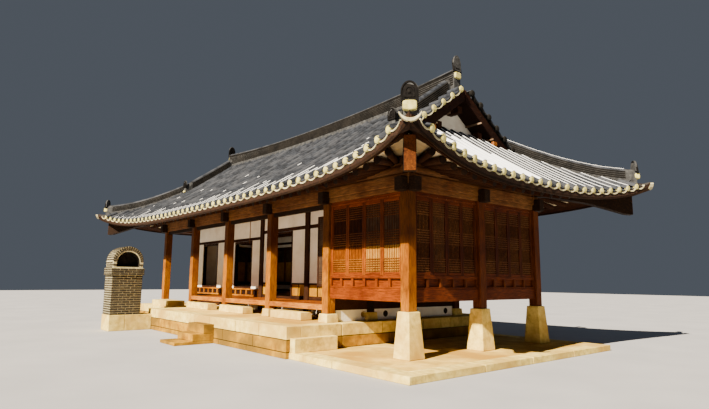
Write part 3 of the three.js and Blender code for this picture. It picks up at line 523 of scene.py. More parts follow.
# The roof's surfaces, at the centre line of the round tile rows
roof = {"frontOut": 1.375, "sideOut": 1.466, "tipOut": 1.95, "frontZ": 3.337, "sideZ": 3.385, "bow": 0.1,
        "tipZ": 3.84, "ridgeZ": 5.68, "ridgeLift": 0.12, "ridgeHalf": 5.534, "frontHollow": 0.12,
        "sideHollow": 0.1, "vergeX": 5.7, "gableX": 5.28, "eaveDepth": 0.14, "postUnder": 3.675,
        "cornerUnder": 3.9, "cornerReach": 1.7}
tipX, tipY = halfLength + roof["tipOut"], halfDepth + roof["tipOut"]
crossY = roof["vergeX"] - hipOffset
hipFall = (roof["cornerUnder"] - roof["tipZ"] + roof["eaveDepth"]) / roof["tipOut"]


def frontEave(x):
    share = abs(x) / tipX
    out = roof["frontOut"] + (roof["tipOut"] - roof["frontOut"]) * share ** 4.2
    rise = roof["tipZ"] - roof["frontZ"] - roof["bow"]
    return out, roof["frontZ"] + roof["bow"] * share ** 2 + rise * share ** 7


def sideEave(y):
    share = abs(y) / tipY
    out = roof["sideOut"] + (roof["tipOut"] - roof["sideOut"]) * share ** 2
    return out, roof["sideZ"] + (roof["tipZ"] - roof["sideZ"]) * share ** 3.2


def ridgeLine(x):
    return roof["ridgeZ"] + roof["ridgeLift"] * (x / roof["ridgeHalf"]) ** 2


def frontSurface(x, y):
    out, z = frontEave(x)
    share = abs(y) / (halfDepth + out)
    fall = (1 + roof["frontHollow"]) * share - roof["frontHollow"] * share ** 2
    return ridgeLine(min(abs(x), roof["vergeX"])) * (1 - fall) + z * fall


def hipSurface(x):
    # The height of the tiles on the hip line
    return frontSurface(x, x - hipOffset)


def sideSurface(x, y):
    out, z = sideEave(y)
    across = max(abs(y), crossY)
    inner = frontSurface(across + hipOffset, across)
    length = max(halfLength + out - across - hipOffset, 0.1)
    share = min((halfLength + out - abs(x)) / length, 1.3)
    rise = (1 - roof["sideHollow"]) * share + roof["sideHollow"] * share ** 2
    return z + (inner - z) * rise


def eaveUnder(along, end, out, eave):
    # The underside that the rafters carry, from the post line to the eave
    start = max(0.0, along - end)
    near = max(0.0, min(1.0, (along - end + roof["cornerReach"]) / roof["cornerReach"]))
    inner = roof["postUnder"] + (roof["cornerUnder"] - roof["postUnder"]) * near ** 2
    if start > 0:
        inner = roof["cornerUnder"] - hipFall * start
    share = max(-1.0, (out - start) / max(eave[0] - start, 0.4))
    return inner + (eave[1] - roof["eaveDepth"] - inner) * share


# The four eaves: how far along an eave its posts stand, its curve, and a place on the plan
eaveSides = {
    "front": (halfLength, tipX, frontEave, lambda along, out: (along, -halfDepth - out)),
    "rear": (halfLength, tipX, frontEave, lambda along, out: (along, halfDepth + out)),
    "right": (halfDepth, tipY, sideEave, lambda along, out: (halfLength + out, along)),
    "left": (halfDepth, tipY, sideEave, lambda along, out: (-halfLength - out, along))}

# The tiles of the four slopes
tiles = {"radius": 0.08, "taper": 0.007, "length": 0.285, "lift": 0.008, "channelLength": 0.135,
         "channelHalf": 0.135, "channelSag": 0.034, "channelLift": -0.03, "channelOver": -0.05,
         "frontPitch": 0.32087, "frontEnd": 7.38, "frontCount": 47, "sidePitch": 0.31727, "sideEnd": 3.49,
         "sideCount": 23, "tilt": 0.012, "hipGap": 0.02, "ridgeGap": 0.03, "ridgeReach": 5.2, "shortest": 0.2}


def channelPlate(half, sag, length, thick=0.02):
    return loft([[(x, half * t, lift + sag * t * t) for t in (-1, -0.55, 0, 0.55, 1)]
                 + [(x, half * 0.6, lift - thick), (x, -half * 0.6, lift - thick)]
                 for x, lift in ((0.0, 0.02), (length, 0.0))])


def halfTube(radius, taper, length):
    return spun(arch, 8, ((0.0, radius), (length, radius - taper)))


roundTile = addShape("round_tile", *halfTube(tiles["radius"], tiles["taper"], tiles["length"] + 0.02))
channelTile = addShape("channel_tile", *channelPlate(tiles["channelHalf"], tiles["channelSag"],
                                                     tiles["channelLength"] + 0.03))


def frontLine(x, side, lift, over=0.0):
    # A line up the front or rear slope at one x, from the eave to the ridge or the hip
    top = tiles["ridgeGap"] if abs(x) <= tiles["ridgeReach"] else abs(x) - hipOffset + tiles["hipGap"]
    start = halfDepth + frontEave(x)[0]
    return [(x, side * y, frontSurface(x, y) + lift) for y in spaced(start, top + over, 14)]


def sideLine(y, side, lift, over=0.0):
    top = roof["gableX"] + 0.05 if abs(y) < crossY - 0.1 else abs(y) + hipOffset + tiles["hipGap"]
    start = halfLength + sideEave(y)[0]
    return [(side * x, y, sideSurface(x, y) + lift) for x in spaced(start, top + over, 12)]


def rowPlaces(where, extra, shift):
    # Where the rows stand along an eave; channels lie half a pitch beside them
    count = tiles[where + "Count"] + extra
    return [-tiles[where + "End"] + (i + shift) * tiles[where + "Pitch"] for i in range(count)]


frontRows, frontChannels = rowPlaces("front", 0, 0.0), rowPlaces("front", 1, -0.5)
sideRows, sideChannels = rowPlaces("side", 0, 0.0), rowPlaces("side", 1, -0.5)
# Each slope: the sign of its side, its lines, and the places of its rows and channels
slopes = {"front": (-1, frontLine, frontRows, frontChannels),
          "rear": (1, frontLine, frontRows, frontChannels),
          "right": (1, sideLine, sideRows, sideChannels),
          "left": (-1, sideLine, sideRows, sideChannels)}
for name, (side, makeLine, rows, channels) in slopes.items():
    for kind, shape, places, lift, over, length, seed in (
            ("rows", roundTile, rows, tiles["lift"], 0.0, tiles["length"], 3),
            ("channels", channelTile, channels, tiles["channelLift"], tiles["channelOver"],
             tiles["channelLength"], 13)):
        lines = [makeLine(at, side, lift, over) for at in places]
        lines = [line for line in lines if math.dist(line[0], line[-1]) > tiles["shortest"]]
        layRows(f"tile_{kind}_{name}", shape, lines, clayTile, length, tiles["tilt"], seed + side)
    coverNode("roof_" + name, roofBody)
print("tiles laid")

# The eaves: lime plugs in the round tiles, pale lips on the channels, and the boards below them
eaves = {"plugRadius": 0.066, "plugDepth": 0.05, "plugBulge": 0.02, "lipHalf": 0.15, "lipSag": 0.066,
         "lipBand": 0.028, "lipDepth": 0.06, "boardIn": (0.002, 0.045), "board": (0.05, 0.178),
         "soffit": ((0.03, 0.33), 0.018), "bearer": ((0.275, 0.335), 0.05), "cornerSoffit": 0.42,
         "tipGap": 0.06, "cuts": 64, "plugPlace": (0.024, 0.014), "lipPlace": (0.012, -0.004)}


def discShape(radius, depth, bulge):
    stops = ((-depth, 1.0), (0.0, 1.0), (bulge * 0.6, 0.84), (bulge, 0.5))
    return spun(circle, 14, [(x, radius * share) for x, share in stops])


def lipShape(half, sag, band, depth):
    rings = []
    for t in spaced(-1, 1, 8):
        thick = band * (1 - 0.45 * t * t)
        z = -sag * (1 - t * t) ** 0.8 - 0.01
        rings.append([(-depth, half * t, z), (-depth, half * t, z + thick),
                      (0.0, half * t, z + thick), (0.004, half * t, z)])
    return loft(rings)


plug = addShape("plug", *discShape(eaves["plugRadius"], eaves["plugDepth"], eaves["plugBulge"]))
lip = addShape("lip", *lipShape(eaves["lipHalf"], eaves["lipSag"], eaves["lipBand"], eaves["lipDepth"]))


def eavePlaces(positions, eave, place, proud, lift):
    # Places along an eave, facing outward and square to its line
    places = []
    for along in positions:
        before, here, after = (Vector((*place(at, eave(at)[0]), eave(at)[1]))
                               for at in (along - 0.05, along, along + 0.05))
        line = (after - before).normalized()
        outward = line.cross(upAxis).normalized()
        if outward.dot(here) < 0:
            outward = -outward
        upward = outward.cross(line).normalized()
        upward = upward if upward.z > 0 else -upward
        places.append((here + outward * proud + upAxis * lift, outward, upward, (1, 1, 1)))
    return places


def alongEave(tip):
    return spaced(-tip + eaves["tipGap"], tip - eaves["tipGap"], eaves["cuts"])


def eaveStrip(tip, eave, place, insides, levels):
    # A bar that follows an eave: how far it lies inside the edge, and how far below it
    rings = []
    for along in alongEave(tip):
        out, z = eave(along)
        near, far = (place(along * (1 - inside / tip), out - inside) for inside in insides)
        rings.append([(*near, z - levels[1]), (*near, z - levels[0]), (*far, z - levels[0]),
                      (*far, z - levels[1])])
    return loft(rings)


def soffitStrip(end, tip, eave, place, insides, thick):
    # Boards below the eave that follow its underside between two distances inside the edge
    rings = []
    for along in alongEave(tip):
        ring = []
        inner = insides[1] + eaves["cornerSoffit"] * max(0.0, (abs(along) - end) / (tip - end)) ** 2
        for inside, drop in zip((insides[0], insides[0], inner, inner), (thick, 0, 0, thick)):
            out = eave(along)[0] - inside
            at = along * (1 - inside / tip)
            ring.append((*place(at, out), eaveUnder(abs(at), end, out, eave(along)) - 0.003 - drop))
        rings.append(ring)
    return loft(rings)


for name, (end, tip, eave, place) in eaveSides.items():
    _, _, rows, channels = slopes[name]
    placeCopies("eave_plugs_" + name, plug, eavePlaces(rows, eave, place, *eaves["plugPlace"]), limePlug,
                "tile", tilt=0.08, spread=0.06, seed=5)
    placeCopies("eave_lips_" + name, lip, eavePlaces(channels, eave, place, *eaves["lipPlace"]), limeLip,
                "tile", tilt=0.03, spread=0.03, seed=6)
    strip = eaveStrip(tip, eave, place, eaves["boardIn"], eaves["board"])
    addSolid("eave_board_" + name, *strip, blackPine, "dark_timber", 0)
    strips = [soffitStrip(end, tip, eave, place, *eaves[board]) for board in ("soffit", "bearer")]
    addSolid("eave_soffit_" + name, *joinLofts(strips), darkPineX if end == halfLength else darkPineY,
             "dark_timber", 0)
print("eaves made")

# Rafters, fanned towards the corners, and the wedges and logs between them and the beams
rafter = {"pitch": 0.32, "radius": 0.065, "endRadius": 0.062, "clear": 0.006, "setBack": 0.36,
          "fanReach": 0.86, "fanStart": 0.9, "fanShare": 0.32, "inner": -0.04, "cornerThin": 0.35}
log = {"radius": 0.088, "z": 3.58, "reach": 0.1}
wedge = {"inside": 0.12, "across": (-0.06, 0.03), "under": 0.012}
# A round bar from x = 0 to x = 1; its outer end is a little thinner
roundRafter = addShape("rafter", *spun(circle, 12, ((0.0, rafter["endRadius"]), (0.12, rafter["radius"]),
                                                    (1.0, rafter["radius"]))))
rafterEnd = addShape("rafter_end", *discShape(rafter["endRadius"] - 0.001, 0.01, 0.004))


def rafterPlaces(end, eave, place):
    last = end + rafter["fanReach"]
    count = round(last / rafter["pitch"])
    places = []
    for along in spaced(-last, last, 2 * count):
        over = max(0.0, abs(along) - end + rafter["fanStart"])
        inside = math.copysign(abs(along) - over * (1 - rafter["fanShare"]), along)
        thin = 1 - rafter["cornerThin"] * min(over / rafter["fanStart"], 1)
        feet = []
        for at, reach, radius in ((along, eave(along)[0] - rafter["setBack"], rafter["radius"]),
                                  (inside, rafter["inner"], rafter["radius"] * thin)):
            z = eaveUnder(abs(at), end, reach, eave(at)) - rafter["clear"] - radius
            feet.append(Vector((*place(at, reach), z)))
        line = feet[1] - feet[0]
        places.append((feet[0], line.normalized(), upAxis, (line.length, 1, 1)))
    return places


for name, (end, _, eave, place) in eaveSides.items():
    material, beamPine = (darkPineY, bigBeamX) if end == halfLength else (darkPineX, bigBeamY)
    places = rafterPlaces(end, eave, place)
    placeCopies("round_rafters_" + name, roundRafter, places, material, "timber", seed=8,
                replaced=["rafters_" + name])
    # The dark caps on the rafters' ends: end grain, made darker with painted shade
    caps = [(foot, -line, up, (1, 1, 1)) for foot, line, up, _ in places]
    placeCopies("rafter_ends_" + name, rafterEnd, caps, blackPine, "dark_timber", seed=9)
    rings = []
    for along in spaced(-end + wedge["inside"], end - wedge["inside"], 16):
        near, far = (place(along, out) for out in wedge["across"])
        foot = grid["beamTop"] + 0.001
        top = eaveUnder(abs(along), end, 0.0, eave(along)) - wedge["under"]
        rings.append([(*near, foot), (*far, foot), (*far, top), (*near, top)])
    addSolid("eave_wedge_" + name, *loft(rings), beamPine, "timber", 0)
    rings = [[(*place(along, out), log["z"] + rise) for out, rise in circle(log["radius"], 16)]
             for along in (-end - log["reach"], end + log["reach"])]
    addSolid("eave_log_" + name, *loft(rings), beamPine, "timber", 0)
print("rafters made")

# Ridges: courses of flat tiles on each side, a round cap and upright end tiles
ridges = {"tile": 0.29, "plateHalf": 0.05, "plateThick": 0.032, "proud": 0.014, "capRadius": 0.078,
          "narrowing": 0.12, "foot": 0.05, "mainFoot": 0.06, "capSink": 0.05, "mainTop": 6.06,
          "mainTopLift": 0.222, "mainHalf": 0.113,
          "mainCourses": 7, "fallingX": 5.34, "falling": (1.62, 0.2), "fallingTop": 0.34,
          "hip": (7.52, 5.5), "hipTop": 0.29, "smallHalf": 0.098, "smallCourses": 4,
          "mainX": 5.5, "mainEndX": 5.52, "hipEndX": 7.7, "fallingEndY": 1.87}
# How the tile and the mortar at the end of each ridge are moved from its end point
ridgeEnds = {"mainTile": {"rise": -0.09, "lean": 0.12, "stretch": (1, 1, 1.2)},
             "mainMortar": {"out": 0.01, "rise": -0.17, "stretch": (0.1, 0.2, 0.15)},
             "hipTile": {"rise": 0.2, "lean": 0.1},
             "hipMortar": {"out": 0.02, "rise": 0.14, "stretch": (0.12, 0.21, 0.15)},
             "fallingTile": {"out": -0.02, "rise": 0.26, "stretch": (1, 0.86, 0.78)},
             "fallingMortar": {"rise": 0.12, "stretch": (0.08, 0.13, 0.06)},
             "tipLip": {"out": -0.02, "rise": -0.055, "stretch": (1.1, 1.06, 1.75)}}


def ridgePlate(half, thick, length):
    # A flat ridge tile with rounded edges; its X axis runs along the ridge
    edge = half - 0.007
    return loft([[(x, -half, thick * 0.5), (x, -edge, 0), (x, edge, 0), (x, half, thick * 0.5),
                  (x, edge, thick), (x, -edge, thick)] for x in (0.0, length)])


def endTile(width, height, thick):
    # An upright end tile with an arched head, a raised rim and a raised boss; it faces +X
    base, middle = height * 0.42, height * 0.45
    head = [(width / 2 * -c, base + (height - base) * s) for c, s in arch(1.0, 12)]
    outline = [(-width / 2, 0.0)] + head + [(width / 2, 0.0)]
    stops = ((0.0, 1.0), (thick, 1.0), (thick, 0.87), (thick - 0.012, 0.82), (thick - 0.012, 0.62),
             (thick, 0.55), (thick, 0.42), (thick - 0.01, 0.36), (thick - 0.008, 0.2), (thick + 0.004, 0.1))
    return loft([[(x, y * scale, middle + (z - middle) * scale) for y, z in outline] for x, scale in stops])


def lumpShape():
    # A block of mortar with corners rounded by hand, one metre across before it is stretched
    ring = [[0.5 * math.copysign(abs(c) ** 0.45, c) for c in pair] for pair in circle(1.0, 20)]
    return loft([[(x, y * share, z * share) for y, z in ring]
                 for x, share in ((-0.5, 0.9), (-0.3, 1.0), (0.3, 1.0), (0.46, 0.93), (0.5, 0.8))])


plate = addShape("ridge_plate", *ridgePlate(ridges["plateHalf"], ridges["plateThick"],
                                            ridges["tile"] + 0.003))
capTile = addShape("cap_tile", *halfTube(ridges["capRadius"], 0.007, ridges["tile"] + 0.015))
block = addShape("block", *boxMesh([(-0.5, 0.5, -0.5, 0.5, -0.5, 0.5)]))
lump = addShape("lump", *lumpShape())
archedTile = addShape("end_tile", *endTile(0.26, 0.32, 0.045))


def addRidge(name, stops, halfWidth, courses):
    # Each stop gives the ridge's middle on the plan, its foot and its top
    lines = []
    for level in [(course + 0.5) / courses for course in range(courses)]:
        half = halfWidth * (1 - ridges["narrowing"] * level) + ridges["proud"] - ridges["plateHalf"]
        for side in (1, -1):
            line = []
            for i, (x, y, foot, top) in enumerate(stops):
                before, after = stops[max(i - 1, 0)], stops[min(i + 1, len(stops) - 1)]
                along = Vector((after[0] - before[0], after[1] - before[1], 0)).normalized()
                line.append((x - along.y * side * half, y + along.x * side * half,
                             foot + (top - ridges["capSink"] - 0.005 - foot) * level))
            lines.append(line)
    layRows("ridge_courses_" + name, plate, lines, ridgeClay, ridges["tile"], 0.003, 41)
    cap = [(x, y, top - ridges["capSink"]) for x, y, _, top in stops]
    layRows("ridge_cap_" + name, capTile, [cap], clayTile, ridges["tile"], 0.01, 42)


mainStops = [(x, 0.0, ridgeLine(x) + ridges["mainFoot"],
              ridges["mainTop"] + ridges["mainTopLift"] * abs(x / roof["ridgeHalf"]) ** 2.2)
             for x in spaced(-ridges["mainX"], ridges["mainX"], 36)]
addRidge("main", mainStops, ridges["mainHalf"], ridges["mainCourses"])
endTiles, endBlocks, crescents = [], [], []
hipEnd, fallingX = ridges["hipEndX"], ridges["fallingX"]
for sx, sy, corner, diagonal in hipCorners:
    ends = []
    if sy < 0:  # the end of the main ridge comes before the two corners beside it
        high = Vector((sx * ridges["mainEndX"], 0, ridges["mainTop"] + ridges["mainTopLift"]))
        ends.append(("main", high, xAxis * sx))
    falling, hip = [], []
    for y in spaced(*ridges["falling"], 8):
        z = frontSurface(fallingX, y)
        falling.append((sx * fallingX, sy * y, z + ridges["foot"], z + ridges["fallingTop"]))
    for x in spaced(*ridges["hip"], 12):
        z = hipSurface(x)
        hip.append((sx * x, sy * (x - hipOffset), z + ridges["foot"], z + ridges["hipTop"]))
    addRidge("falling_" + corner, falling, ridges["smallHalf"], ridges["smallCourses"] + 1)
    addRidge("hip_" + corner, hip, ridges["smallHalf"], ridges["smallCourses"])
    foot = Vector((sx * hipEnd, sy * (hipEnd - hipOffset), hipSurface(hipEnd)))
    low = Vector((sx * fallingX, sy * ridges["fallingEndY"], frontSurface(fallingX, ridges["fallingEndY"])))
    ends += [("hip", foot, diagonal), ("falling", low, Vector((0, sy, 0)))]
    for kind, point, outward in ends:
        endTiles.append(setPlace(point, outward, upAxis, **ridgeEnds[kind + "Tile"]))
        endBlocks.append(setPlace(point, outward, upAxis, **ridgeEnds[kind + "Mortar"]))
    tipPoint = Vector((sx * tipX, sy * tipY, roof["tipZ"]))
    crescents.append(setPlace(tipPoint, diagonal, upAxis, **ridgeEnds["tipLip"]))
placeCopies("ridge_end_tiles", archedTile, endTiles, endClay, "tile", tilt=0.02, seed=43)
placeCopies("ridge_end_mortar", lump, endBlocks, limePlug, "tile", tilt=0.03, spread=0.04, seed=44)
placeCopies("hip_tip_lips", lip, crescents, limeLip, "tile", seed=45)
print("ridges made")

# Verges: short round tiles laid square to the gable, with their own plugs and lips
verge = {"pitch": 0.3, "start": 0.2, "count": 6, "outer": 5.8, "slopeX": 5.6, "lift": 0.02,
         "tile": {"stretch": (1.22, 1, 1)}, "channel": {"rise": -0.03, "stretch": (2.4, 1, 1)},
         "plug": {"out": 0.006, "stretch": (1, 1.1, 1.1)},
         "lip": {"out": 0.004, "rise": -0.012, "stretch": (1, 0.92, 0.8)}}
for sx, nameX in houseEnds:
    rows, channels, plugs, lips = [], [], {-1: [], 1: []}, {-1: [], 1: []}
    outward = xAxis * sx
    for sy in (-1, 1):
        for step in range(2 * verge["count"]):
            y = verge["start"] + step / 2 * verge["pitch"]
            z = frontSurface(verge["slopeX"], y)
            slope = Vector((0, sy * 0.05, frontSurface(verge["slopeX"], y + 0.05) - z)).normalized()
            up = slope.cross(outward)
            up = up if up.z > 0 else -up
            start = Vector((sx * verge["outer"], sy * y, z + verge["lift"]))
            if step % 2:
                channels.append(setPlace(start, -outward, up, **verge["channel"]))
                lips[sy].append(setPlace(start, outward, up, **verge["lip"]))
            else:
                rows.append(setPlace(start, -outward, up, **verge["tile"]))
                plugs[sy].append(setPlace(start, outward, up, **verge["plug"]))
    placeCopies(f"verge_tiles_{nameX}", roundTile, rows, clayTile, "tile", 0.02, seed=51)
    placeCopies(f"verge_channels_{nameX}", channelTile, channels, clayTile, "tile", 0.02, seed=55)
    placeCopies(f"verge_plugs_front_{nameX}", plug, plugs[-1], limePlug, "tile", 0.08, 0.05, seed=52)
    placeCopies(f"verge_plugs_rear_{nameX}", plug, plugs[1], ridgeClay, "tile", 0.08, 0.05, seed=57)
    placeCopies(f"verge_lips_front_{nameX}", lip, lips[-1], limeLip, "tile", 0.03, seed=53)
    placeCopies(f"verge_lips_rear_{nameX}", lip, lips[1], ridgeClay, "tile", 0.03, seed=56)
print("verges made")

# Gables: plaster, bargeboards with nailed battens and pale feet, and purlin ends
gable = {"board": (0.07, 0.32), "boardX": 5.704, "thick": 0.045, "wallX": (5.2, 5.28), "wallFoot": 4.3,
         "soffit": (0.255, 0.285), "soffitX": 5.29, "slopeX": 5.65, "slope": (0.012, 1.56),
         "purlins": ((0.0, 5.3), (-0.7, 4.82), (0.7, 4.82)), "purlinX": (5.27, 5.6), "purlin": (0.075, 0.08),
         "battenX": 5.31, "battenY": (0.55, 0.98), "batten": 0.026, "battenDrop": (0.075, 0.035),
         "nail": {"rise": 0.09, "stretch": (0.4, 0.3, 0.3)}, "feet": (1.0, 1.14, 4.62, 4.72),
         "footProud": 0.012, "plasterX": 5.24, "plasterDrop": 0.24, "plasterHalf": 1.5}


def slopedBoard(x0, x1, drops, sy):
    # A board that follows one slope of the gable, between two depths below the tiles
    rings = []
    for y in spaced(*gable["slope"], 12):
        high, low = (frontSurface(gable["slopeX"], y) - drop for drop in drops)
        rings.append([(x0, sy * y, low), (x1, sy * y, low), (x1, sy * y, high), (x0, sy * y, high)])
    return loft(rings)


for sx, nameX in houseEnds:
    x0, x1 = sx * gable["boardX"], sx * (gable["boardX"] + gable["thick"])
    outward = xAxis * sx
    boards, soffits, battens, nails, feet = [], [], [], [], []
    for sy in (-1, 1):
        boards.append(slopedBoard(x0, x1, gable["board"], sy))
        soffits.append(slopedBoard(sx * gable["soffitX"], x0, gable["soffit"], sy))
        for y in gable["battenY"]:
            z = frontSurface(gable["slopeX"], y) - gable["soffit"][1]
            half = gable["batten"] / 2
            battens.append((sx * gable["battenX"], x1 + sx * 0.02, sy * y - half, sy * y + half,
                            *(z - drop for drop in gable["battenDrop"])))
            nails.append(setPlace(Vector((x1, sy * y, z)), outward, upAxis, **gable["nail"]))
        near, far, low, high = gable["feet"]
        proud = sx * gable["footProud"]
        feet.append((x0 - proud, x1 + proud, sy * near, sy * far, low, high))
    addSolid(f"bargeboards_{nameX}", *joinLofts(boards), redBrown, "dark_timber", 0.006,
             replaced=[f"gable_{nameX}"])
    addSolid(f"gable_soffit_{nameX}", *joinLofts(soffits), redBrown, "dark_timber", 0)
    addBlocks(f"gable_battens_{nameX}", battens, greyedPine, "timber", 0.004)
    placeCopies(f"board_nails_{nameX}", plug, nails, blackPine, "timber", seed=54)
    addBlocks(f"board_feet_{nameX}", feet, palePine, "timber", 0.008)
    rings, (inner, outer), foot = [], (sx * x for x in gable["wallX"]), gable["wallFoot"]
    for y in spaced(-gable["plasterHalf"], gable["plasterHalf"], 24):
        z = frontSurface(gable["plasterX"], y) - gable["plasterDrop"]
        rings.append([(inner, y, foot), (outer, y, foot), (outer, y, z), (inner, y, z)])
    addSolid(f"gable_plaster_{nameX}", *loft(rings), plaster, "plaster", 0)
    half, tall = gable["purlin"]
    purlins = [(*(sx * x for x in gable["purlinX"]), y - half, y + half, z - tall, z + tall)
               for y, z in gable["purlins"]]
    addBlocks(f"purlin_ends_{nameX}", purlins, darkPineX, "dark_timber", 0.012)
print("gables made")

# The stonework: bedded blocks round a core, with a packed lime floor between the edge stones
stonework = {"joint": 0.018, "gap": 0.006, "inset": 0.024, "block": 1.45, "shrink": 0.12, "edge": 0.34,
             "courses": (0.0, 0.125, 0.36, 0.605), "coreTop": 0.59, "field": (0.5, 0.6), "seed": 11}
platform = {"right": 4.05, "left": -6.95, "front": -3.44, "back": 3.03, "corner": -3.69, "setBack": -2.65}
platformFace = platform["front"] - hair
slab = {"left": platform["right"] + hair, "right": 7.24, "front": -3.37, "back": 3.03, "top": 0.12,
        "block": 1.5, "edge": 0.36, "field": (0.05, 0.117), "seed": 31}
steps = {"entryX": (0.0, 0.9), "entry": ((-3.7, 0.234, 0.44), (-3.96, 0.074, 0.23), (-4.38, 0.0, 0.07)),
         "end": (4.22, -3.35, -2.32), "endTop": 0.385, "shoeZ": (0.605, 0.78),
         "shoes": ((1.6, 2.9, -2.34, -2.03), (-1.04, 0.2, -2.34, -2.03), (-3.3, -1.95, -2.34, -2.03),
                   (-5.86, -4.4, -2.6, -2.03))}
# The stones under the posts: their width at the foot and the top, and the heights of both
baseStones = {"low": (0.32, 0.29, 0.6, 0.785), "tall": (0.41, 0.29, slab["top"] + hair, 0.947)}


def cutSpan(start, end, size, seed, jitter=0.16):
    # Cuts a run of stone into blocks of uneven lengths with a joint between them
    count = max(1, round(abs(end - start) / size))
    chance = random.Random(seed)
    cuts = [start + (end - start) * (i + (chance.uniform(-jitter, jitter) if 0 < i < count else 0)) / count
            for i in range(count + 1)]
    half = stonework["joint"] / 2
    return [(a + (half if i else 0), b - (half if i < count - 1 else 0))
            for i, (a, b) in enumerate(zip(cuts, cuts[1:]))]


def layCourse(runs, z, size, seed):
    # One course of stones; each run is cut along X or along Y
    stones = []
    for i, (axis, x, y) in enumerate(runs):
        if axis == "x":
            stones += [(*cut, *y, *z) for cut in cutSpan(*x, size, seed + i)]
        else:
            stones += [(*x, *cut, *z) for cut in cutSpan(*y, size, seed + i)]
    return stones


def taperedStones(places, foot, top, z0, z1):
    # Square stones that narrow towards their tops
    corners = ((-0.5, -0.5), (0.5, -0.5), (0.5, 0.5), (-0.5, 0.5))
    return joinLofts([loft([[(x + cx * width, y + cy * width, z) for cx, cy in corners]
                            for width, z in ((foot, z0), (top, z1))]) for x, y in places])


def makePlatform():
    right, left, front, back, corner, setBack = platform.values()
    x0, x1, y0, y1 = (slab[side] for side in ("left", "right", "front", "back"))
    deep, gap, inset, edge = stonework["edge"], stonework["gap"], stonework["inset"], slab["edge"]
    core = [(corner + inset, right - inset, front + inset, back - inset, 0.0, stonework["coreTop"]),
            (left + inset, corner + 0.1, setBack + inset, back - inset, 0.0, stonework["coreTop"] - 0.001),
            (x0 + inset, x1 - inset, y0 + inset, y1 - inset, 0.0, slab["top"] - 0.01)]
    addBlocks("stone_bedding", core, bedding, "granite", 0.002)
    runs = (("x", (corner, right), (front, front + deep)),
            ("x", (left, corner - 0.004), (setBack, setBack + deep)),
            ("x", (left, right), (back - deep, back)),
            ("y", (right - deep, right), (front + deep + gap, back - deep - gap)),
            ("y", (left, left + deep), (setBack + deep + gap, back - deep - gap)),
            ("y", (corner, corner + deep), (front + deep + gap, setBack + deep)))
    stones, levels = [], stonework["courses"]
    for level, (z0, z1) in enumerate(zip(levels, levels[1:])):
        top = z1 - (stonework["joint"] if level < 2 else 0)
        size = stonework["block"] * (1 - stonework["shrink"] * level)
        stones.append(layCourse(runs, (z0, top), size, stonework["seed"] + 7 * level))
    addBlocks("platform_coping", stones[2], granite, "granite", 0.006, replaced=["platform"])
    addBlocks("platform_courses", stones[0] + stones[1], ochreGranite, "granite", 0.006)
    rim, slabRim = deep + 0.005, edge + gap
    field = [(corner + rim, right - rim, front + rim, back - rim, *stonework["field"]),
             (left + rim, corner + rim, setBack + rim, back - rim, *stonework["field"]),
             (x0 + 0.01, x1 - slabRim, y0 + slabRim, y1 - slabRim, *slab["field"])]
    addBlocks("packed_floor", field, packedLime, "granite", 0.003)
    runs = (("x", (x0, x1), (y0, y0 + edge)), ("x", (x0, x1), (y1 - edge, y1)),
            ("y", (x1 - edge, x1), (y0 + slabRim, y1 - slabRim)))
    stones = layCourse(runs, (0.0, slab["top"]), slab["block"], slab["seed"])
    addBlocks("slab_edge_stones", stones, granite, "granite", 0.006, replaced=["lower_slab"])


def makeSteps():
    entry = [(*steps["entryX"], y, platformFace, low, high) for y, low, high in steps["entry"]]
    addBlocks("entry_step_blocks", entry, ochreGranite, "granite", 0.008, replaced=["entry_steps"])
    end = (slab["left"], *steps["end"], slab["top"] + hair, steps["endTop"])
    addBlocks("end_step_block", [end], granite, "granite", 0.008, replaced=["end_step"])
    addBlocks("shoe_stones", [(*plan, *steps["shoeZ"]) for plan in steps["shoes"]], granite, "granite", 0.01)
    low = [(x, side * halfDepth) for x in postX[1:] for side in (-1, 1)] + [(postX[1], grid["innerRow"])]
    addSolid("base_stones", *taperedStones(low, *baseStones["low"]), granite, "granite", 0.012)
    tall = [(halfLength, y) for y in (-halfDepth, 0.0, halfDepth)]
    addSolid("tall_base_stones", *taperedStones(tall, *baseStones["tall"]), granite, "granite", 0.014,
             replaced=[f"tall_stone_{place}" for place in ("front", "middle", "rear")])


# The flue stack: grey bricks in lime, a stepped ledge and a vaulted cap round a niche lined dark for soot and
# painted shade
flue = {"x": (-4.13, -3.41), "y": (-4.62, -3.78), "baseTop": 0.45, "ledge": 1.59, "ledgeOut": 0.035,
        "shoulder": 1.79, "spring": 2.01, "course": 0.067, "joint": 0.015, "proud": 0.007, "perSide": 4,
        "brickDepth": 0.095, "archBricks": 19, "archDepth": 0.088, "nicheHalf": 0.33, "nicheDepth": 0.42,
        "nicheFoot": 1.83, "nicheSpring": 1.95, "lining": 0.008}
# The ring of bricks on the face of the vault, which grows towards its crown
faceRing = {"inside": 0.0215, "drop": 0.03, "radius": 0.378, "rise": 0.012, "length": 0.057, "pitch": 0.385,
            "joint": 0.014, "depth": 0.082, "grow": 0.03}
flueMiddle = sum(flue["y"]) / 2


def brickRing(reach, z0, z1, turnedCourse):
    # One course of bricks round the stack, half a brick on from the course below
    deep, half = flue["brickDepth"], flue["joint"] / 2
    x, y = ((low - reach, high + reach) for low, high in (flue["x"], flue["y"]))
    bricks = []
    for alongY, (low, high), across in ((1, y, x), (0, x, y)):
        length = (high - low) / flue["perSide"]
        inset = deep if alongY == turnedCourse else 0.0
        start, end = low + inset, high - inset
        marks = [low + length * (i + 0.5 * turnedCourse) for i in range(flue["perSide"] + 1)]
        marks = [start] + [m for m in marks if start + 0.04 < m < end - 0.04] + [end]
        for a, b in zip(marks, marks[1:]):
            a, b = a + (half if a > start else 0.0), b - (half if b < end else 0.0)
            for c, d in ((across[0], across[0] + deep), (across[1] - deep, across[1])):
                bricks.append((c, d, a, b, z0, z1) if alongY else (a, b, c, d, z0, z1))
    return bricks


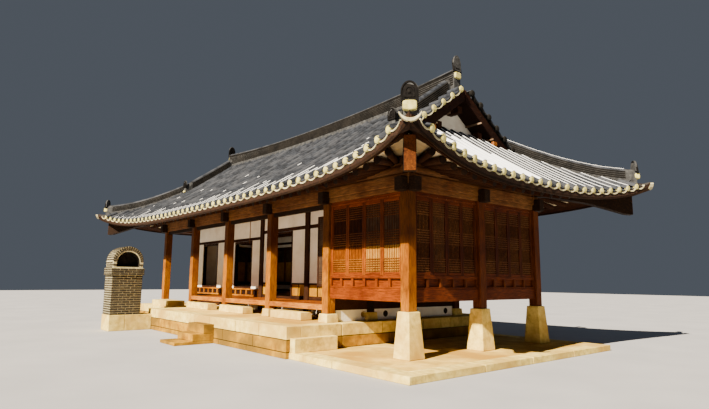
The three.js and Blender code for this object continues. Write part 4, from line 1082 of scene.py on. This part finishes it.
def layShaft():
    # The courses of the shaft and of the ledge, and the shoulders beside the niche
    (x0, x1), (y0, y1) = flue["x"], flue["y"]
    out, course, foot, ledge = flue["proud"], flue["course"], flue["baseTop"] + hair, flue["ledge"]
    bricks = []
    count = round((ledge - foot) / course)
    for i in range(count):
        z = foot + i * (ledge - foot) / count
        bricks += brickRing(out, z + 0.004, z + course - 0.01, i % 2)
    for i in range(3):
        z = ledge + i * course
        bricks += brickRing(out + flue["ledgeOut"], z + 0.002, z + course - 0.007, i % 2)
    for i in range(3):
        z = flue["shoulder"] + 0.004 + i * course
        for sy in (-1, 1):
            near, far = flueMiddle + sy * flue["nicheHalf"], flueMiddle + sy * ((y1 - y0) / 2 + out)
            for j in range(4):
                a = x0 - out + (x1 - x0 + 2 * out) * (j + 0.5 * (i % 2) - 0.25) / 4
                b = a + (x1 - x0) / 4 - flue["joint"]
                bricks.append((max(a, x0 - out), min(b, x1 + out), near, far, z, z + course - 0.01))
    return bricks


def layVault():
    # Four rings of bricks over the niche, then a ring of thin bricks on its face
    (x0, x1), (y0, y1) = flue["x"], flue["y"]
    out, count = flue["proud"], flue["archBricks"]
    radius = (flue["nicheHalf"] + (y1 - y0) / 2 + out) / 2 + 0.003
    length = (x1 - x0 + 2 * out) / 4
    turns = [math.pi * (i + 0.5) / count for i in range(count)]
    outwards = [Vector((0, math.cos(turn), math.sin(turn))) for turn in turns]
    size = (length - flue["joint"], math.pi * radius / count - 0.012, flue["archDepth"])
    bricks = [setPlace(Vector((x0 - out + length * (j + 0.5), flueMiddle, flue["spring"])), xAxis, outward,
                       rise=radius, stretch=size) for outward in outwards for j in range(4)]
    ring = faceRing
    middle = Vector((x1 - ring["inside"], flueMiddle, flue["spring"] - ring["drop"]))
    for outward in outwards:
        size = (ring["length"], math.pi * ring["pitch"] / count - ring["joint"],
                ring["depth"] + ring["grow"] * outward.z)
        bricks.append(setPlace(middle, xAxis, outward, rise=ring["radius"] + ring["rise"] * outward.z,
                               stretch=size))
    return bricks


def makeNiche():
    # The back, vault, sides and floor of the niche, dark for soot and painted shade
    x1, thick, foot, spring = flue["x"][1], flue["lining"], flue["nicheFoot"], flue["nicheSpring"]
    back, front, inner = x1 - flue["nicheDepth"], x1 - 0.012, flue["nicheHalf"] - 0.004
    outline = [(flueMiddle + y, spring + z) for y, z in arch(inner, 14)]
    outline += [(flueMiddle - inner, foot + 0.004), (flueMiddle + inner, foot + 0.004)]
    darkBack = loft([[(x, y, z) for y, z in outline] for x in (back + 0.004, back + 0.02)])
    section = ((back, inner), (front, inner), (front, inner - thick), (back, inner - thick))
    vault = loft([[(x, flueMiddle + radius * c, spring + radius * s) for x, radius in section]
                  for c, s in arch(1.0, 14)])
    boxes = [(back, front, flueMiddle + side * inner, flueMiddle + side * (inner - thick),
              foot + 0.004, spring) for side in (-1, 1)]
    boxes.append((back, x1 - 0.03, flueMiddle - inner, flueMiddle + inner, foot + 0.002, foot + 0.01))
    addSolid("flue_soot_back", *joinLofts([darkBack, vault, boxMesh(boxes)]), sootAndShadeBrick, "brick", 0)


def makeFlue():
    (x0, x1), y0 = flue["x"], flue["y"][0]
    addBlocks("flue_bricks", layShaft(), brickClay, "brick", 0.003)
    placeCopies("flue_arch_bricks", block, layVault(), brickClay, "brick", tilt=0.012, seed=61)
    makeNiche()
    base = [(x0 - 0.02, x0 + 0.31, y0 - 0.02, platformFace), (x0 + 0.317, x1 + 0.02, y0 - 0.02, y0 + 0.42),
            (x0 + 0.317, x1 + 0.02, y0 + 0.427, platformFace)]
    addBlocks("flue_base_stones", [(*plan, 0.0, flue["baseTop"]) for plan in base], granite, "granite", 0.012,
              replaced=["flue_base"])


makePlatform()
makeSteps()
makeFlue()
print("stonework and flue made")

# Posts, beams and floors
frameTimber = {"bevel": 0.012, "beamHalf": 0.1, "beamSink": 0.012, "ledge": 3.27, "endWidth": 0.19,
               "endReach": 0.17, "ends": (3.14, 3.41), "plankFoot": 3.065, "nailPitch": 0.3}
veranda = {"edge": -2.2, "edgeDepth": 0.14, "back": -0.9953, "right": 3.537, "beam": (0.855, 0.97),
           "joist": (0.86, 0.935), "board": (0.936, 0.968), "boardWidth": 0.23, "boardLength": 1.6}
pavilionJoist = {"x": (3.9, 5.7), "y": (-2.0, 2.0), "z": (1.1, 1.19), "half": 0.06}


def makePosts():
    half, top = grid["post"] / 2, grid["beamBottom"] - hair
    low, high = baseStones["low"][3] + hair, baseStones["tall"][3] + hair
    front = [(x, -halfDepth, high if x == halfLength else low) for x in postX]
    rear = [(halfLength, 0.0, high), (halfLength, halfDepth, high), (postX[1], halfDepth, low),
            (-halfLength, halfDepth, low)]
    # The rear and right posts take a darker copy of the oil: painted shade
    for name, posts, pine, nodes in (
            ("front_posts", front, postPine, [f"front_post_{i}" for i in range(1, 7)]),
            ("rear_posts", rear, shadedPost,
             ["right_middle_post", "rear_right_post", "rear_pavilion_post", "rear_left_post"])):
        boxes = [(x - half, x + half, y - half, y + half, foot, top) for x, y, foot in posts]
        addBlocks(name, boxes, pine, "timber", frameTimber["bevel"], replaced=nodes)


def makeBeams():
    half, sink, ledge = frameTimber["beamHalf"], frameTimber["beamSink"], frameTimber["ledge"]
    low, high, ends = grid["beamBottom"], grid["beamTop"], frameTimber["ends"]
    endHalf, endOut = frameTimber["endWidth"] / 2, half + frameTimber["endReach"]
    reach, inner = halfLength + half + 0.02, halfDepth - half - hair
    alongFront, alongEnd, beamEnds = [], [], []
    for y in (-halfDepth, halfDepth):
        alongFront += [(-reach, reach, y - half, y + half, ledge, high),
                       (-halfLength, halfLength, y - half + sink, y + half - sink, low, ledge + 0.004)]
        beamEnds += [(x - endHalf, x + endHalf, y, y + math.copysign(endOut, y), *ends) for x in postX]
    for x in (-halfLength, halfLength):
        alongEnd += [(x - half, x + half, -inner, inner, ledge, high),
                     (x - half + sink, x + half - sink, -inner, inner, low, ledge + 0.004)]
        beamEnds += [(x, x + math.copysign(endOut, x), y - endHalf, y + endHalf, *ends)
                     for y in (-halfDepth, 0.0, halfDepth)]
    addBlocks("long_beams", alongFront, bigBeamX, "timber", 0.02, replaced=["front_beam", "rear_beam"])
    addBlocks("end_beams", alongEnd, bigBeamY, "timber", 0.02, replaced=["right_beam", "left_beam"])
    addBlocks("beam_ends", beamEnds, blackPine, "dark_timber", 0.016)
    # Planks under the front beam between the middle posts; their near-black is painted shade for the deep
    # shadow there
    half = grid["post"] / 2 + 0.002
    planks = [(x - grid["bay"] + half, x - half, -halfDepth - 0.04, -halfDepth + 0.04,
               frameTimber["plankFoot"], low - 0.001) for x in postX[1:5]]
    addBlocks("front_planks", planks, blackPine, "dark_timber", 0.006)


def makeFloors():
    # The veranda: a beam along its edge between the posts, boards behind it and joists below
    back, edge, half = veranda["back"], veranda["edge"], grid["post"] / 2 + 0.003
    inside = edge + veranda["edgeDepth"]
    beams, boards, joists = [], [], []
    for x, right in zip(postX[2:], (veranda["right"], postX[2] - half, postX[3] - half)):
        left = x + half
        beams.append((left, right, edge, inside, *veranda["beam"]))
        joists += [(middle - 0.05, middle + 0.05, inside, back, *veranda["joist"])
                   for middle in spaced(left + 0.06, right - 0.06, 3)]
    for i, y in enumerate(cutSpan(inside + 0.006, back, veranda["boardWidth"], 5, 0.05)):
        length = veranda["boardLength"] + 0.12 * (i % 2)
        boards += [(*cut, *y, *veranda["board"])
                   for cut in cutSpan(postX[4] + half, veranda["right"], length, i)]
    addBlocks("veranda_edge", beams, goldenPine, "timber", 0.008, replaced=["veranda_floor"])
    addBlocks("veranda_boards", boards, beamPineX, "timber", 0.003)
    addBlocks("veranda_joists", joists, darkPineY, "timber", 0.004)
    half, (low, high) = pavilionJoist["half"], pavilionJoist["z"]
    joists = [(x - half, x + half, *pavilionJoist["y"], low, high) for x in spaced(*pavilionJoist["x"], 3)]
    addBlocks("pavilion_joists", joists, darkPineY, "timber", 0.008)
    x, y, half = postX[1], grid["innerRow"], 0.1
    stub = (x - half, x + half, y - half, y + half, baseStones["low"][3], high)
    addBlocks("pavilion_stub_post", [stub], blackPine, "dark_timber", 0.01)


makePosts()
makeBeams()
makeFloors()
print("posts, beams and floors made")

# Lattice leaves: a frame, thin upright bars, three groups of cross bars, and paper or board behind that turns
# to a dark copy above the eaves' shadow line, painted shade
lattice = {"stile": 0.052, "rail": 0.06, "bar": 0.01, "crossBar": 0.016, "barDepth": 0.014, "uprights": 8,
           "group": 6, "groupPitch": 0.046, "seam": 0.003, "shadeLineZ": 2.17}


def addOnWall(name, boxes, wall, material, slot="timber", bevel=0.0, body="house", replaced=()):
    # Boxes drawn along a wall; wall gives the middle of its foot line and its quarter turns
    addBlocks(name, turned(boxes, *wall), material, slot, bevel, body, replaced)


def leafParts(u0, u1, z0, z1, front, back):
    # The upright members, the cross members, the bars and the sheet behind of one leaf
    stile, rail, half, seam = lattice["stile"], lattice["rail"], lattice["bar"] / 2, lattice["seam"]
    left, right, low, high = u0 + stile, u1 - stile, z0 + rail, z1 - rail
    stiles = [(u0 + seam, left, front, back, z0, z1), (right, u1 - seam, front, back, z0, z1)]
    rails = [(left, right, front + 0.002, back, z0, low), (left, right, front + 0.002, back, high, z1)]
    face = front + 0.008
    rear = face + lattice["barDepth"]
    bars = [(u - half, u + half, face + 0.004, rear, low, high)
            for u in spaced(left, right, lattice["uprights"] + 1)[1:-1]]
    span = lattice["groupPitch"] * (lattice["group"] - 1)
    edge, half = lattice["groupPitch"] * 0.6, lattice["crossBar"] / 2
    crossBars = [(left, right, face, rear - 0.002, z - half, z + half)
                 for first in (low + edge, (low + high - span) / 2, high - edge - span)
                 for z in spaced(first, first + span, lattice["group"] - 1)]
    return stiles, rails, bars, crossBars, (left, right, rear + 0.006, rear + 0.01, low, high)


def addLeaves(name, wall, leaves, front, back, sheets, along):
    # Leaves that stand side by side; sheets gives the finish behind each of them. Above the eaves' shadow
    # line each sheet takes its dark copy instead: painted shade
    stiles, rails, bars, crossBars, behind = [], [], [], [], {}
    for leaf, finish in zip(leaves, sheets):
        *parts, sheet = leafParts(*leaf, front, back)
        for group, more in zip((stiles, rails, bars, crossBars), parts):
            group += more
        behind.setdefault(finish, []).append((*sheet[:5], lattice["shadeLineZ"]))
        behind.setdefault(shadedSheetAbove[finish], []).append((*sheet[:4], lattice["shadeLineZ"], sheet[5]))
    stileFinish, barFinish, crossFinish = leafFinishes["shaded" if wall[1] == 1 else "sunned"]
    addOnWall(f"{name}_stiles", stiles, wall, stileFinish, bevel=0.003)
    addOnWall(f"{name}_leaf_rails", rails, wall, along, bevel=0.003)
    addOnWall(f"{name}_bars", bars, wall, barFinish)
    addOnWall(f"{name}_cross_bars", crossBars, wall, crossFinish)
    for finish, boxes in behind.items():
        addOnWall(f"{name}_{finish}", boxes, wall, leafSheets[finish], "plaster")


# Leaves that face +X get little sun; their frames and bars take darker copies: painted shade
leafFinishes = {"sunned": (stilePine, latticePine, barPine), "shaded": (shadedUpright, shadedBar, shadedBar)}
leafSheets = {"paper": paper, "old_paper": darkPaper, "boarding": boardPine, "dark_boarding": shadedBoard}
# The dark copy that each sheet takes above the eaves' shadow line: painted shade
shadedSheetAbove = {"paper": "old_paper", "old_paper": "old_paper", "boarding": "dark_boarding",
               "dark_boarding": "dark_boarding"}

# The panelled walls of the pavilion: an apron beam, a row of sunk panels, a sill and four leaves
panelWall = {"apron": (1.109, 1.342), "lowRail": 1.378, "sill": (1.536, 1.6), "head": 3.067,
             "front": -0.04, "back": 0.03, "muntin": 0.066, "panelSink": 0.05, "jamb": 0.04}


def addPanelledWall(name, wall, length, panels, sheets):
    half, jamb, muntin = length / 2, panelWall["jamb"], panelWall["muntin"] / 2
    front, back, head = panelWall["front"], panelWall["back"], panelWall["head"]
    (_, apron), low, (sill, leafFoot) = panelWall["apron"], panelWall["lowRail"], panelWall["sill"]
    # Walls that face +X take the duller copies of the oil: painted shade
    along, upright = (panelPineX, russetUpright) if wall[1] % 2 == 0 else (shadedPineY, shadedPost)
    rails = [(-half, half, front - 0.01, back, *panelWall["apron"]), (-half, half, front, back, apron, low),
             (-half, half, front - 0.008, back, sill, leafFoot),
             (-half, half, front + 0.012, back, head, grid["beamBottom"] - hair),
             (-half, half, front - 0.004, back, head + 0.02, head + 0.055)]
    muntins = [(u - muntin, u + muntin, front, back, low, sill) for u in spaced(-half, half, panels)[1:-1]]
    muntins += [(-half, -half + jamb, front, back, low, head), (half - jamb, half, front, back, low, head)]
    sunk = [(-half, half, front + panelWall["panelSink"], back - 0.01, low - 0.01, sill + 0.01)]
    addOnWall(f"{name}_rails", rails, wall, along, bevel=0.006, replaced=[name])
    addOnWall(f"{name}_muntins", muntins, wall, upright, bevel=0.004)
    addOnWall(f"{name}_panels", sunk, wall, along)
    edges = [-half + jamb + i * (length - 2 * jamb) / 4 for i in range(5)]
    leaves = [(*pair, leafFoot, head) for pair in zip(edges, edges[1:])]
    addLeaves(name, wall, leaves, front, back - 0.01, sheets, along)
    nails = [(u - 0.008, u + 0.008, front - 0.009, front, head + 0.03, head + 0.046)
             for u in spaced(-half + 0.12, half - 0.12, round(length / frameTimber["nailPitch"]))]
    addOnWall(f"{name}_nails", nails, wall, iron, "dark_timber", 0.003)


longWall, shortWall = (span - grid["post"] - 2 * hair for span in (grid["bay"], halfDepth))
middleX = (postX[0] + postX[1]) / 2
addPanelledWall("pavilion_front_wall", ((middleX, -halfDepth), 0), longWall, 6,
                ["boarding", "boarding", "paper", "paper"])
# The rear wall and the end walls face away from the sun and take dark sheets behind their leaves: painted
# shade
addPanelledWall("pavilion_rear_wall", ((middleX, halfDepth), 2), longWall, 6, ["old_paper"] * 4)
addPanelledWall("pavilion_right_wall_1", ((halfLength, -halfDepth / 2), 1), shortWall, 5,
                ["dark_boarding", "old_paper", "dark_boarding", "dark_boarding"])
addPanelledWall("pavilion_right_wall_2", ((halfLength, halfDepth / 2), 1), shortWall, 5,
                ["dark_boarding"] * 4)
print("pavilion walls made")

# The door between the veranda and the pavilion: one leaf that stands open, clear of its knuckles
door = {"x": (2.995, 3.537), "y": -1.965, "half": 0.018, "z": (1.35, 2.94), "knuckle": 3.499,
        "knuckles": (1.56, 2.67), "knuckleHeight": 0.06}


def makeDoor():
    (x0, x1), thick, (low, high) = door["x"], door["half"], door["z"]
    middle, half = (x0 + x1) / 2, (x1 - x0) / 2
    wall = ((middle, door["y"]), 0)
    (left, right), rails, bars, crossBars, sheet = leafParts(-half, half, low, high, -thick, thick)
    bars += crossBars
    bars += [(u0, u1, -v1, -v0, z0, z1) for u0, u1, v0, v1, z0, z1 in bars]
    hingeSide = door["knuckle"] - middle
    cuts = [low] + [z + offset for z in door["knuckles"]
                    for offset in (-hair, door["knuckleHeight"] + hair)] + [high]
    heel = [(hingeSide, half, -thick, thick, *pair) for pair in zip(cuts[::2], cuts[1::2])]
    stiles = [left, (right[0], hingeSide, *right[2:])] + heel
    addOnWall("door_leaf_stiles", stiles, wall, darkPineZ, "dark_timber", 0.003, "door_leaf",
              replaced=["pavilion_door"])
    addOnWall("door_leaf_rails", rails, wall, darkPineX, "dark_timber", 0.003, "door_leaf")
    addOnWall("door_leaf_bars", bars, wall, darkPineZ, "dark_timber", 0.0015, "door_leaf")
    sheet = (*sheet[:2], -0.003, 0.003, *sheet[4:])
    addOnWall("door_leaf_paper", [sheet], wall, darkPaper, "plaster", 0, "door_leaf")


makeDoor()
print("door made")

# Timber in the plastered walls: posts, rails and frames that stand a little proud of the plaster, by steps
# that keep their faces out of one plane
walls = {"proud": 0.012, "frame": 0.055, "muntinHalf": 0.025, "railHalf": 0.022, "sunk": 0.004}
panelFinishes = {"fresh_panels": honeyPine, "plain_boards": darkPineX}


def addFramedWall(name, wall, half, posts, rails, holes, panels, along):
    # Posts are (u0, u1, z0, z1, half depth); panels are (u0, u1, z0, z1, count, finish)
    reach, f, rail, muntin = half + walls["proud"], walls["frame"], walls["railHalf"], walls["muntinHalf"]
    lines = [(u0, u1, -reach, reach, z0, z1) for u0, u1, z0, z1 in rails]
    stands = [(u0, u1, -depth, depth, z0, z1) for u0, u1, z0, z1, depth in posts]
    for u0, u1, z0, z1 in holes:
        lines += [(u0 - f, u1 + f, -reach - 0.004, reach + 0.004, z, z + f) for z in (z0 - f, z1)]
        stands += [(u, u + f, -reach - 0.003, reach + 0.003, z0, z1) for u in (u0 - f, u1)]
    boards = {}
    for u0, u1, z0, z1, count, finish in panels:
        boards.setdefault(finish, []).append((u0, u1, -half - walls["sunk"], half + walls["sunk"], z0, z1))
        lines += [(u0, u1, -reach, reach, z - rail, z + rail) for z in (z0, z1)]
        stands += [(u - muntin, u + muntin, -reach + 0.002, reach - 0.002, z0, z1)
                   for u in spaced(u0, u1, count)]
    addOnWall(f"{name}_rails", lines, wall, along, "dark_timber", 0.005)
    addOnWall(f"{name}_uprights", stands, wall, darkPineZ, "dark_timber", 0.005)
    for finish, boxes in boards.items():
        addOnWall(f"{name}_{finish}", boxes, wall, panelFinishes[finish], bevel=0.002)


innerWall = {"half": 0.045, "postHalf": 0.094, "foot": 0.607, "top": 4.3, "sill": (0.93, 1.03),
             "heads": ((2.86, 2.96), (2.86, 2.96), (2.7, 2.79), (2.74, 2.83)), "panels": (1.05, 1.39),
             "holes": ((-0.7, 0.4, 1.04, 2.8), (-2.92, -1.89, 1.27, 2.64), (-5.375, -4.3, 1.27, 2.68)),
             "thinPost": (2.5, 2.6, 1.03, 2.86, 0.055), "lowBoards": (0.64, 0.94),
             "wainscot": (0.976, 1.03, 1.17, 1.215), "rod": (-1.98, 2.58, 3.9), "rodHalf": 0.007}


def makeInnerWall():
    # The wall set back behind the veranda, bay by bay from the pavilion to the far end
    wall, p = ((0.0, grid["innerRow"]), 0), innerWall["postHalf"]
    posts = [(x - p, x + p, 1.337 if x == postX[1] else innerWall["foot"],
              3.168 if x == -halfLength else innerWall["top"], p) for x in postX[1:]]
    posts.append(innerWall["thinPost"])
    bays = [(x - grid["bay"] + p, x - p) for x in postX[1:5]]
    rails = [(*bay, *innerWall["sill"]) for bay in bays]
    rails += [(*bay, *head) for bay, head in zip(bays, innerWall["heads"])]
    panels = [(u0, u1, *innerWall["panels"], count, "fresh_panels") for u0, u1, count in (
        (bays[0][0], bays[0][1] - 0.3, 5), (0.46, bays[1][1], 2), (bays[1][0], -0.76, 1))]
    panels.append((bays[3][0] + 0.02, bays[3][1] - 0.02, *innerWall["lowBoards"], 4, "plain_boards"))
    addFramedWall("inner_wall", wall, innerWall["half"], posts, rails, innerWall["holes"], panels, darkPineX)
    face, (z0, z1, z2, z3) = -innerWall["half"] - walls["proud"], innerWall["wainscot"]
    frames, boards = [], []
    for a, b in bays[2:]:
        frames += [(a + 0.004, b - 0.004, face - 0.05, face, *z) for z in ((z0, z1), (z2, z3))]
        frames += [(u - 0.035, u + 0.035, face - 0.045, face, z1, z2) for u in spaced(a + 0.04, b - 0.04, 6)]
        boards.append((a + 0.01, b - 0.01, face - 0.012, face, z1, z2))
    addOnWall("wainscot_frames", frames, wall, brightPine, bevel=0.006)
    addOnWall("wainscot_panels", boards, wall, redBrown)
    # The iron rod that hangs down the plaster of the fourth bay
    (x, *z), half = innerWall["rod"], innerWall["rodHalf"]
    rod = (x - half, x + half, face - 0.014, face + 0.001, *z)
    addOnWall("hanging_rod", [rod], wall, iron, "dark_timber")


outerWall = {"half": 0.035, "postHalf": 0.108, "posts": (0.787, 3.168), "window": 0.55, "z": (1.35, 2.7),
             "rails": (1.04, 2.86), "rail": 0.09, "boards": (0.72, 1.0), "out": 0.005,
             "leftWindow": (-1.6, -1.05, -0.5), "leftPost": (0.86, 0.95)}


def addOuterWall(name, windowName, wall, posts, bays, edges, panels, along):
    # A plastered wall; edges gives the two sides and the middle of each window
    z = outerWall["z"]
    rails = [(*bay, foot, foot + outerWall["rail"]) for bay in bays for foot in outerWall["rails"]]
    holes = [(left, right, *z) for left, _, right in edges]
    addFramedWall(name, wall, outerWall["half"], posts, rails, holes, panels, along)
    leaves = [(*pair, *z) for left, middle, right in edges for pair in ((left, middle), (middle, right))]
    addLeaves(windowName, wall, leaves, -0.03, 0.02, ["paper"] * len(leaves), along)


def makeOuterWalls():
    # The rear wall and the left end, with their windows closed by papered lattice leaves
    p, reach, (low, high), out = (outerWall[key] for key in ("postHalf", "window", "posts", "out"))
    bays = [(-x + p, -x + grid["bay"] - p) for x in postX[1:5]]
    middles = [grid["bay"] / 2 - x for x in postX[1:5]]
    addOuterWall("rear_wall", "rear_windows", ((0.0, halfDepth + out), 2),
                 [(-x - p, -x + p, low, high, p) for x in postX[2:5]], bays,
                 [(x - reach, x, x + reach) for x in middles],
                 [(a + 0.02, b - 0.02, *outerWall["boards"], 1, "plain_boards") for a, b in bays], darkPineX)
    thin = outerWall["leftPost"]
    addOuterWall("left_wall", "left_window", ((-halfLength - out, 0.0), 3),
                 [(-p, p, low, high, p), (*thin, low, high, 0.05)], [(-halfDepth + p, -p), (p, thin[0])],
                 [outerWall["leftWindow"]], [], darkPineY)


# Two more vents in the plastered wall under the pavilion's edge, drawn as thin dark discs in clay rims: the
# dark of each hole is painted shade
vents = {"x": 3.661, "y": (-0.467, 1.673), "z": 0.735, "proud": 0.0012, "rim": 1.15, "hole": 0.9}


def makeVents():
    for name, proud, size, material, seed in (("vent_rims", 0.0, vents["rim"], brickClay, 81),
                                              ("vent_holes", vents["proud"], vents["hole"], sootAndShadeBrick, 82)):
        places = [setPlace(Vector((vents["x"], y, vents["z"])), xAxis, upAxis, out=proud,
                           stretch=(0.1, size, size)) for y in vents["y"]]
        placeCopies(name, plug, places, material, "plaster", seed=seed)


makeInnerWall()
makeOuterWalls()
makeVents()
print("walls made")

# The end faces of the angle rafters, cut square across the corner
angleEnds = {"out": 1.6, "proud": 0.003, "size": (0.01, 0.17), "heights": ((3.474, 0.238), (3.21, 0.282))}
for sx, sy, corner, diagonal in hipCorners:
    end = Vector((sx * (halfLength + angleEnds["out"]), sy * (halfDepth + angleEnds["out"]), 0))
    plates = [setPlace(end, diagonal, upAxis, angleEnds["proud"], z, stretch=(*angleEnds["size"], height))
              for z, height in angleEnds["heights"]]
    placeCopies("angle_rafter_end_" + corner, block, plates, endGrain, "timber", seed=71)
print("angle rafter ends made")

# Thin old snow on the crests of the tile rows: much on the near half of the right slope, little elsewhere
snow = {"length": 0.24, "thick": 0.005, "wide": 50, "narrow": 10, "fullTo": 0.3, "specks": 0.4, "seed": 9,
        "sideShortest": 0.6, "frontShortest": 1.0}


def snowCap(halfAngle, cuts=6):
    # A thin shell over the crest of a round tile
    inner, outer = tiles["radius"] - 0.002, tiles["radius"] + snow["thick"]
    turns = [math.radians(a) for a in spaced(90 - halfAngle, 90 + halfAngle, cuts)]
    ring = [(outer if 0 < i < cuts else inner + 0.003, a) for i, a in enumerate(turns)]
    ring += [(inner, a) for a in reversed(turns)]
    return loft([[(x, r * math.cos(a), r * math.sin(a)) for r, a in ring]
                 for x in (0.0, snow["length"] + 0.004)])


def makeSnow():
    chance = random.Random(snow["seed"])
    wide, narrow = [], []
    for at in sideRows:
        line = sideLine(at, 1, tiles["lift"])
        if math.dist(line[0], line[-1]) < snow["sideShortest"]:
            continue
        if at < snow["fullTo"]:
            wide.append(line[:max(3, round(len(line) * chance.uniform(0.55, 0.9)))])
        narrow.append(line)
    for at in frontRows:
        line = frontLine(at, -1, tiles["lift"])
        if math.dist(line[0], line[-1]) > snow["frontShortest"]:
            narrow.append(line[:chance.randint(2, 3)])
            first = chance.randint(2, 7)
            if chance.random() < snow["specks"]:
                start, end = Vector(line[first]), Vector(line[first + 1])
                narrow.append([tuple(start), tuple(start.lerp(end, chance.uniform(0.2, 0.45)))])
    far, near = ridges["hip"]
    narrow.append([(x, x - hipOffset, hipSurface(x) + ridges["hipTop"] - 0.05)
                   for x in spaced(near, far, 12)])
    for name, lines in (("wide", wide), ("narrow", narrow)):
        shape = addShape("snow_" + name, *snowCap(snow[name]))
        layRows("snow_" + name, shape, lines, oldSnow, snow["length"], 0.01, 14)


makeSnow()
print("snow laid")

# Light, floor and camera
view = {"place": (12.698, -8.992, 1.501), "yaw": 50.12, "pitch": 8.283, "roll": 0.48, "lens": 26.39}
light = {"sky": "#cfdcf0", "skyStrength": 0.13, "sun": "#fff1d8", "sunEnergy": 19.0, "sunAngle": 0.6,
         "azimuth": 12, "elevation": 36.6}
studio = {"size": 60.0, "level": -0.002}


def makeFloor():
    # Pale, even and dull under the house
    material, tree, shader, coords = newMaterial("pale studio floor", 0.9, 0.5)
    colour = addRamp(tree, addNoise(tree, coords, 0.6, 3.0), (0.3, "#a2a2a6"), (0.7, "#acacb0"))
    tree.links.new(colour, shader.inputs["Base Color"])
    size = studio["size"]
    corners = [(x * size, y * size, studio["level"]) for x, y in ((-1, -1), (1, -1), (1, 1), (-1, 1))]
    newObject("studio_floor", corners, [(0, 1, 2, 3)], material)


makeFloor()
world = bpy.data.worlds.new("studio")
scene.world = world
world.use_nodes = True
background = world.node_tree.nodes["Background"]
background.inputs["Color"].default_value = linear(light["sky"])
background.inputs["Strength"].default_value = light["skyStrength"]
sunLight = bpy.data.lights.new("key", "SUN")
sunLight.energy = light["sunEnergy"]
sunLight.angle = math.radians(light["sunAngle"])
sunLight.color = linear(light["sun"])[:3]
sun = bpy.data.objects.new("key", sunLight)
around, above = math.radians(light["azimuth"]), math.radians(light["elevation"])
towards = Vector((math.sin(around), -math.cos(around), math.tan(above)))
sun.rotation_euler = towards.to_track_quat("Z", "Y").to_euler()
scene.collection.objects.link(sun)

camera = bpy.data.objects.new("camera", bpy.data.cameras.new("camera"))
camera.data.lens = view["lens"]
camera.data.sensor_width = 36.0
camera.data.clip_end = 300.0
yaw, pitch, roll = (math.radians(view[k]) for k in ("yaw", "pitch", "roll"))
facing = Matrix.Rotation(yaw, 4, "Z") @ Matrix.Rotation(math.pi / 2 + pitch, 4, "X")
camera.matrix_world = Matrix.Translation(view["place"]) @ facing @ Matrix.Rotation(roll, 4, "Z")
scene.collection.objects.link(camera)
scene.camera = camera

# The frame's own pieces that stay, by their finish
kept = (
    (oiledFloor, ["room_floor"]),
    (darkPineX, ["pavilion_floor"]),
    (darkPineZ, ["pavilion_doorway"]),
    (plaster, ["underfloor_wall", "rear_wall", "left_wall"] + [f"recessed_wall_{i}" for i in range(2, 6)]),
    (ridgeBed, ["main_ridge"] + ["corner_ridge_" + corner for _, _, corner, _ in hipCorners]),
    (blackPine, ["angle_rafter_" + corner for _, _, corner, _ in hipCorners]),
    (mortar, ["flue_stack"]))
for material, names in kept:
    for name in names:
        coverNode(name, material)

for shape in shapes:
    bpy.data.objects.remove(shape)
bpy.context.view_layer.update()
low, high = cadBox
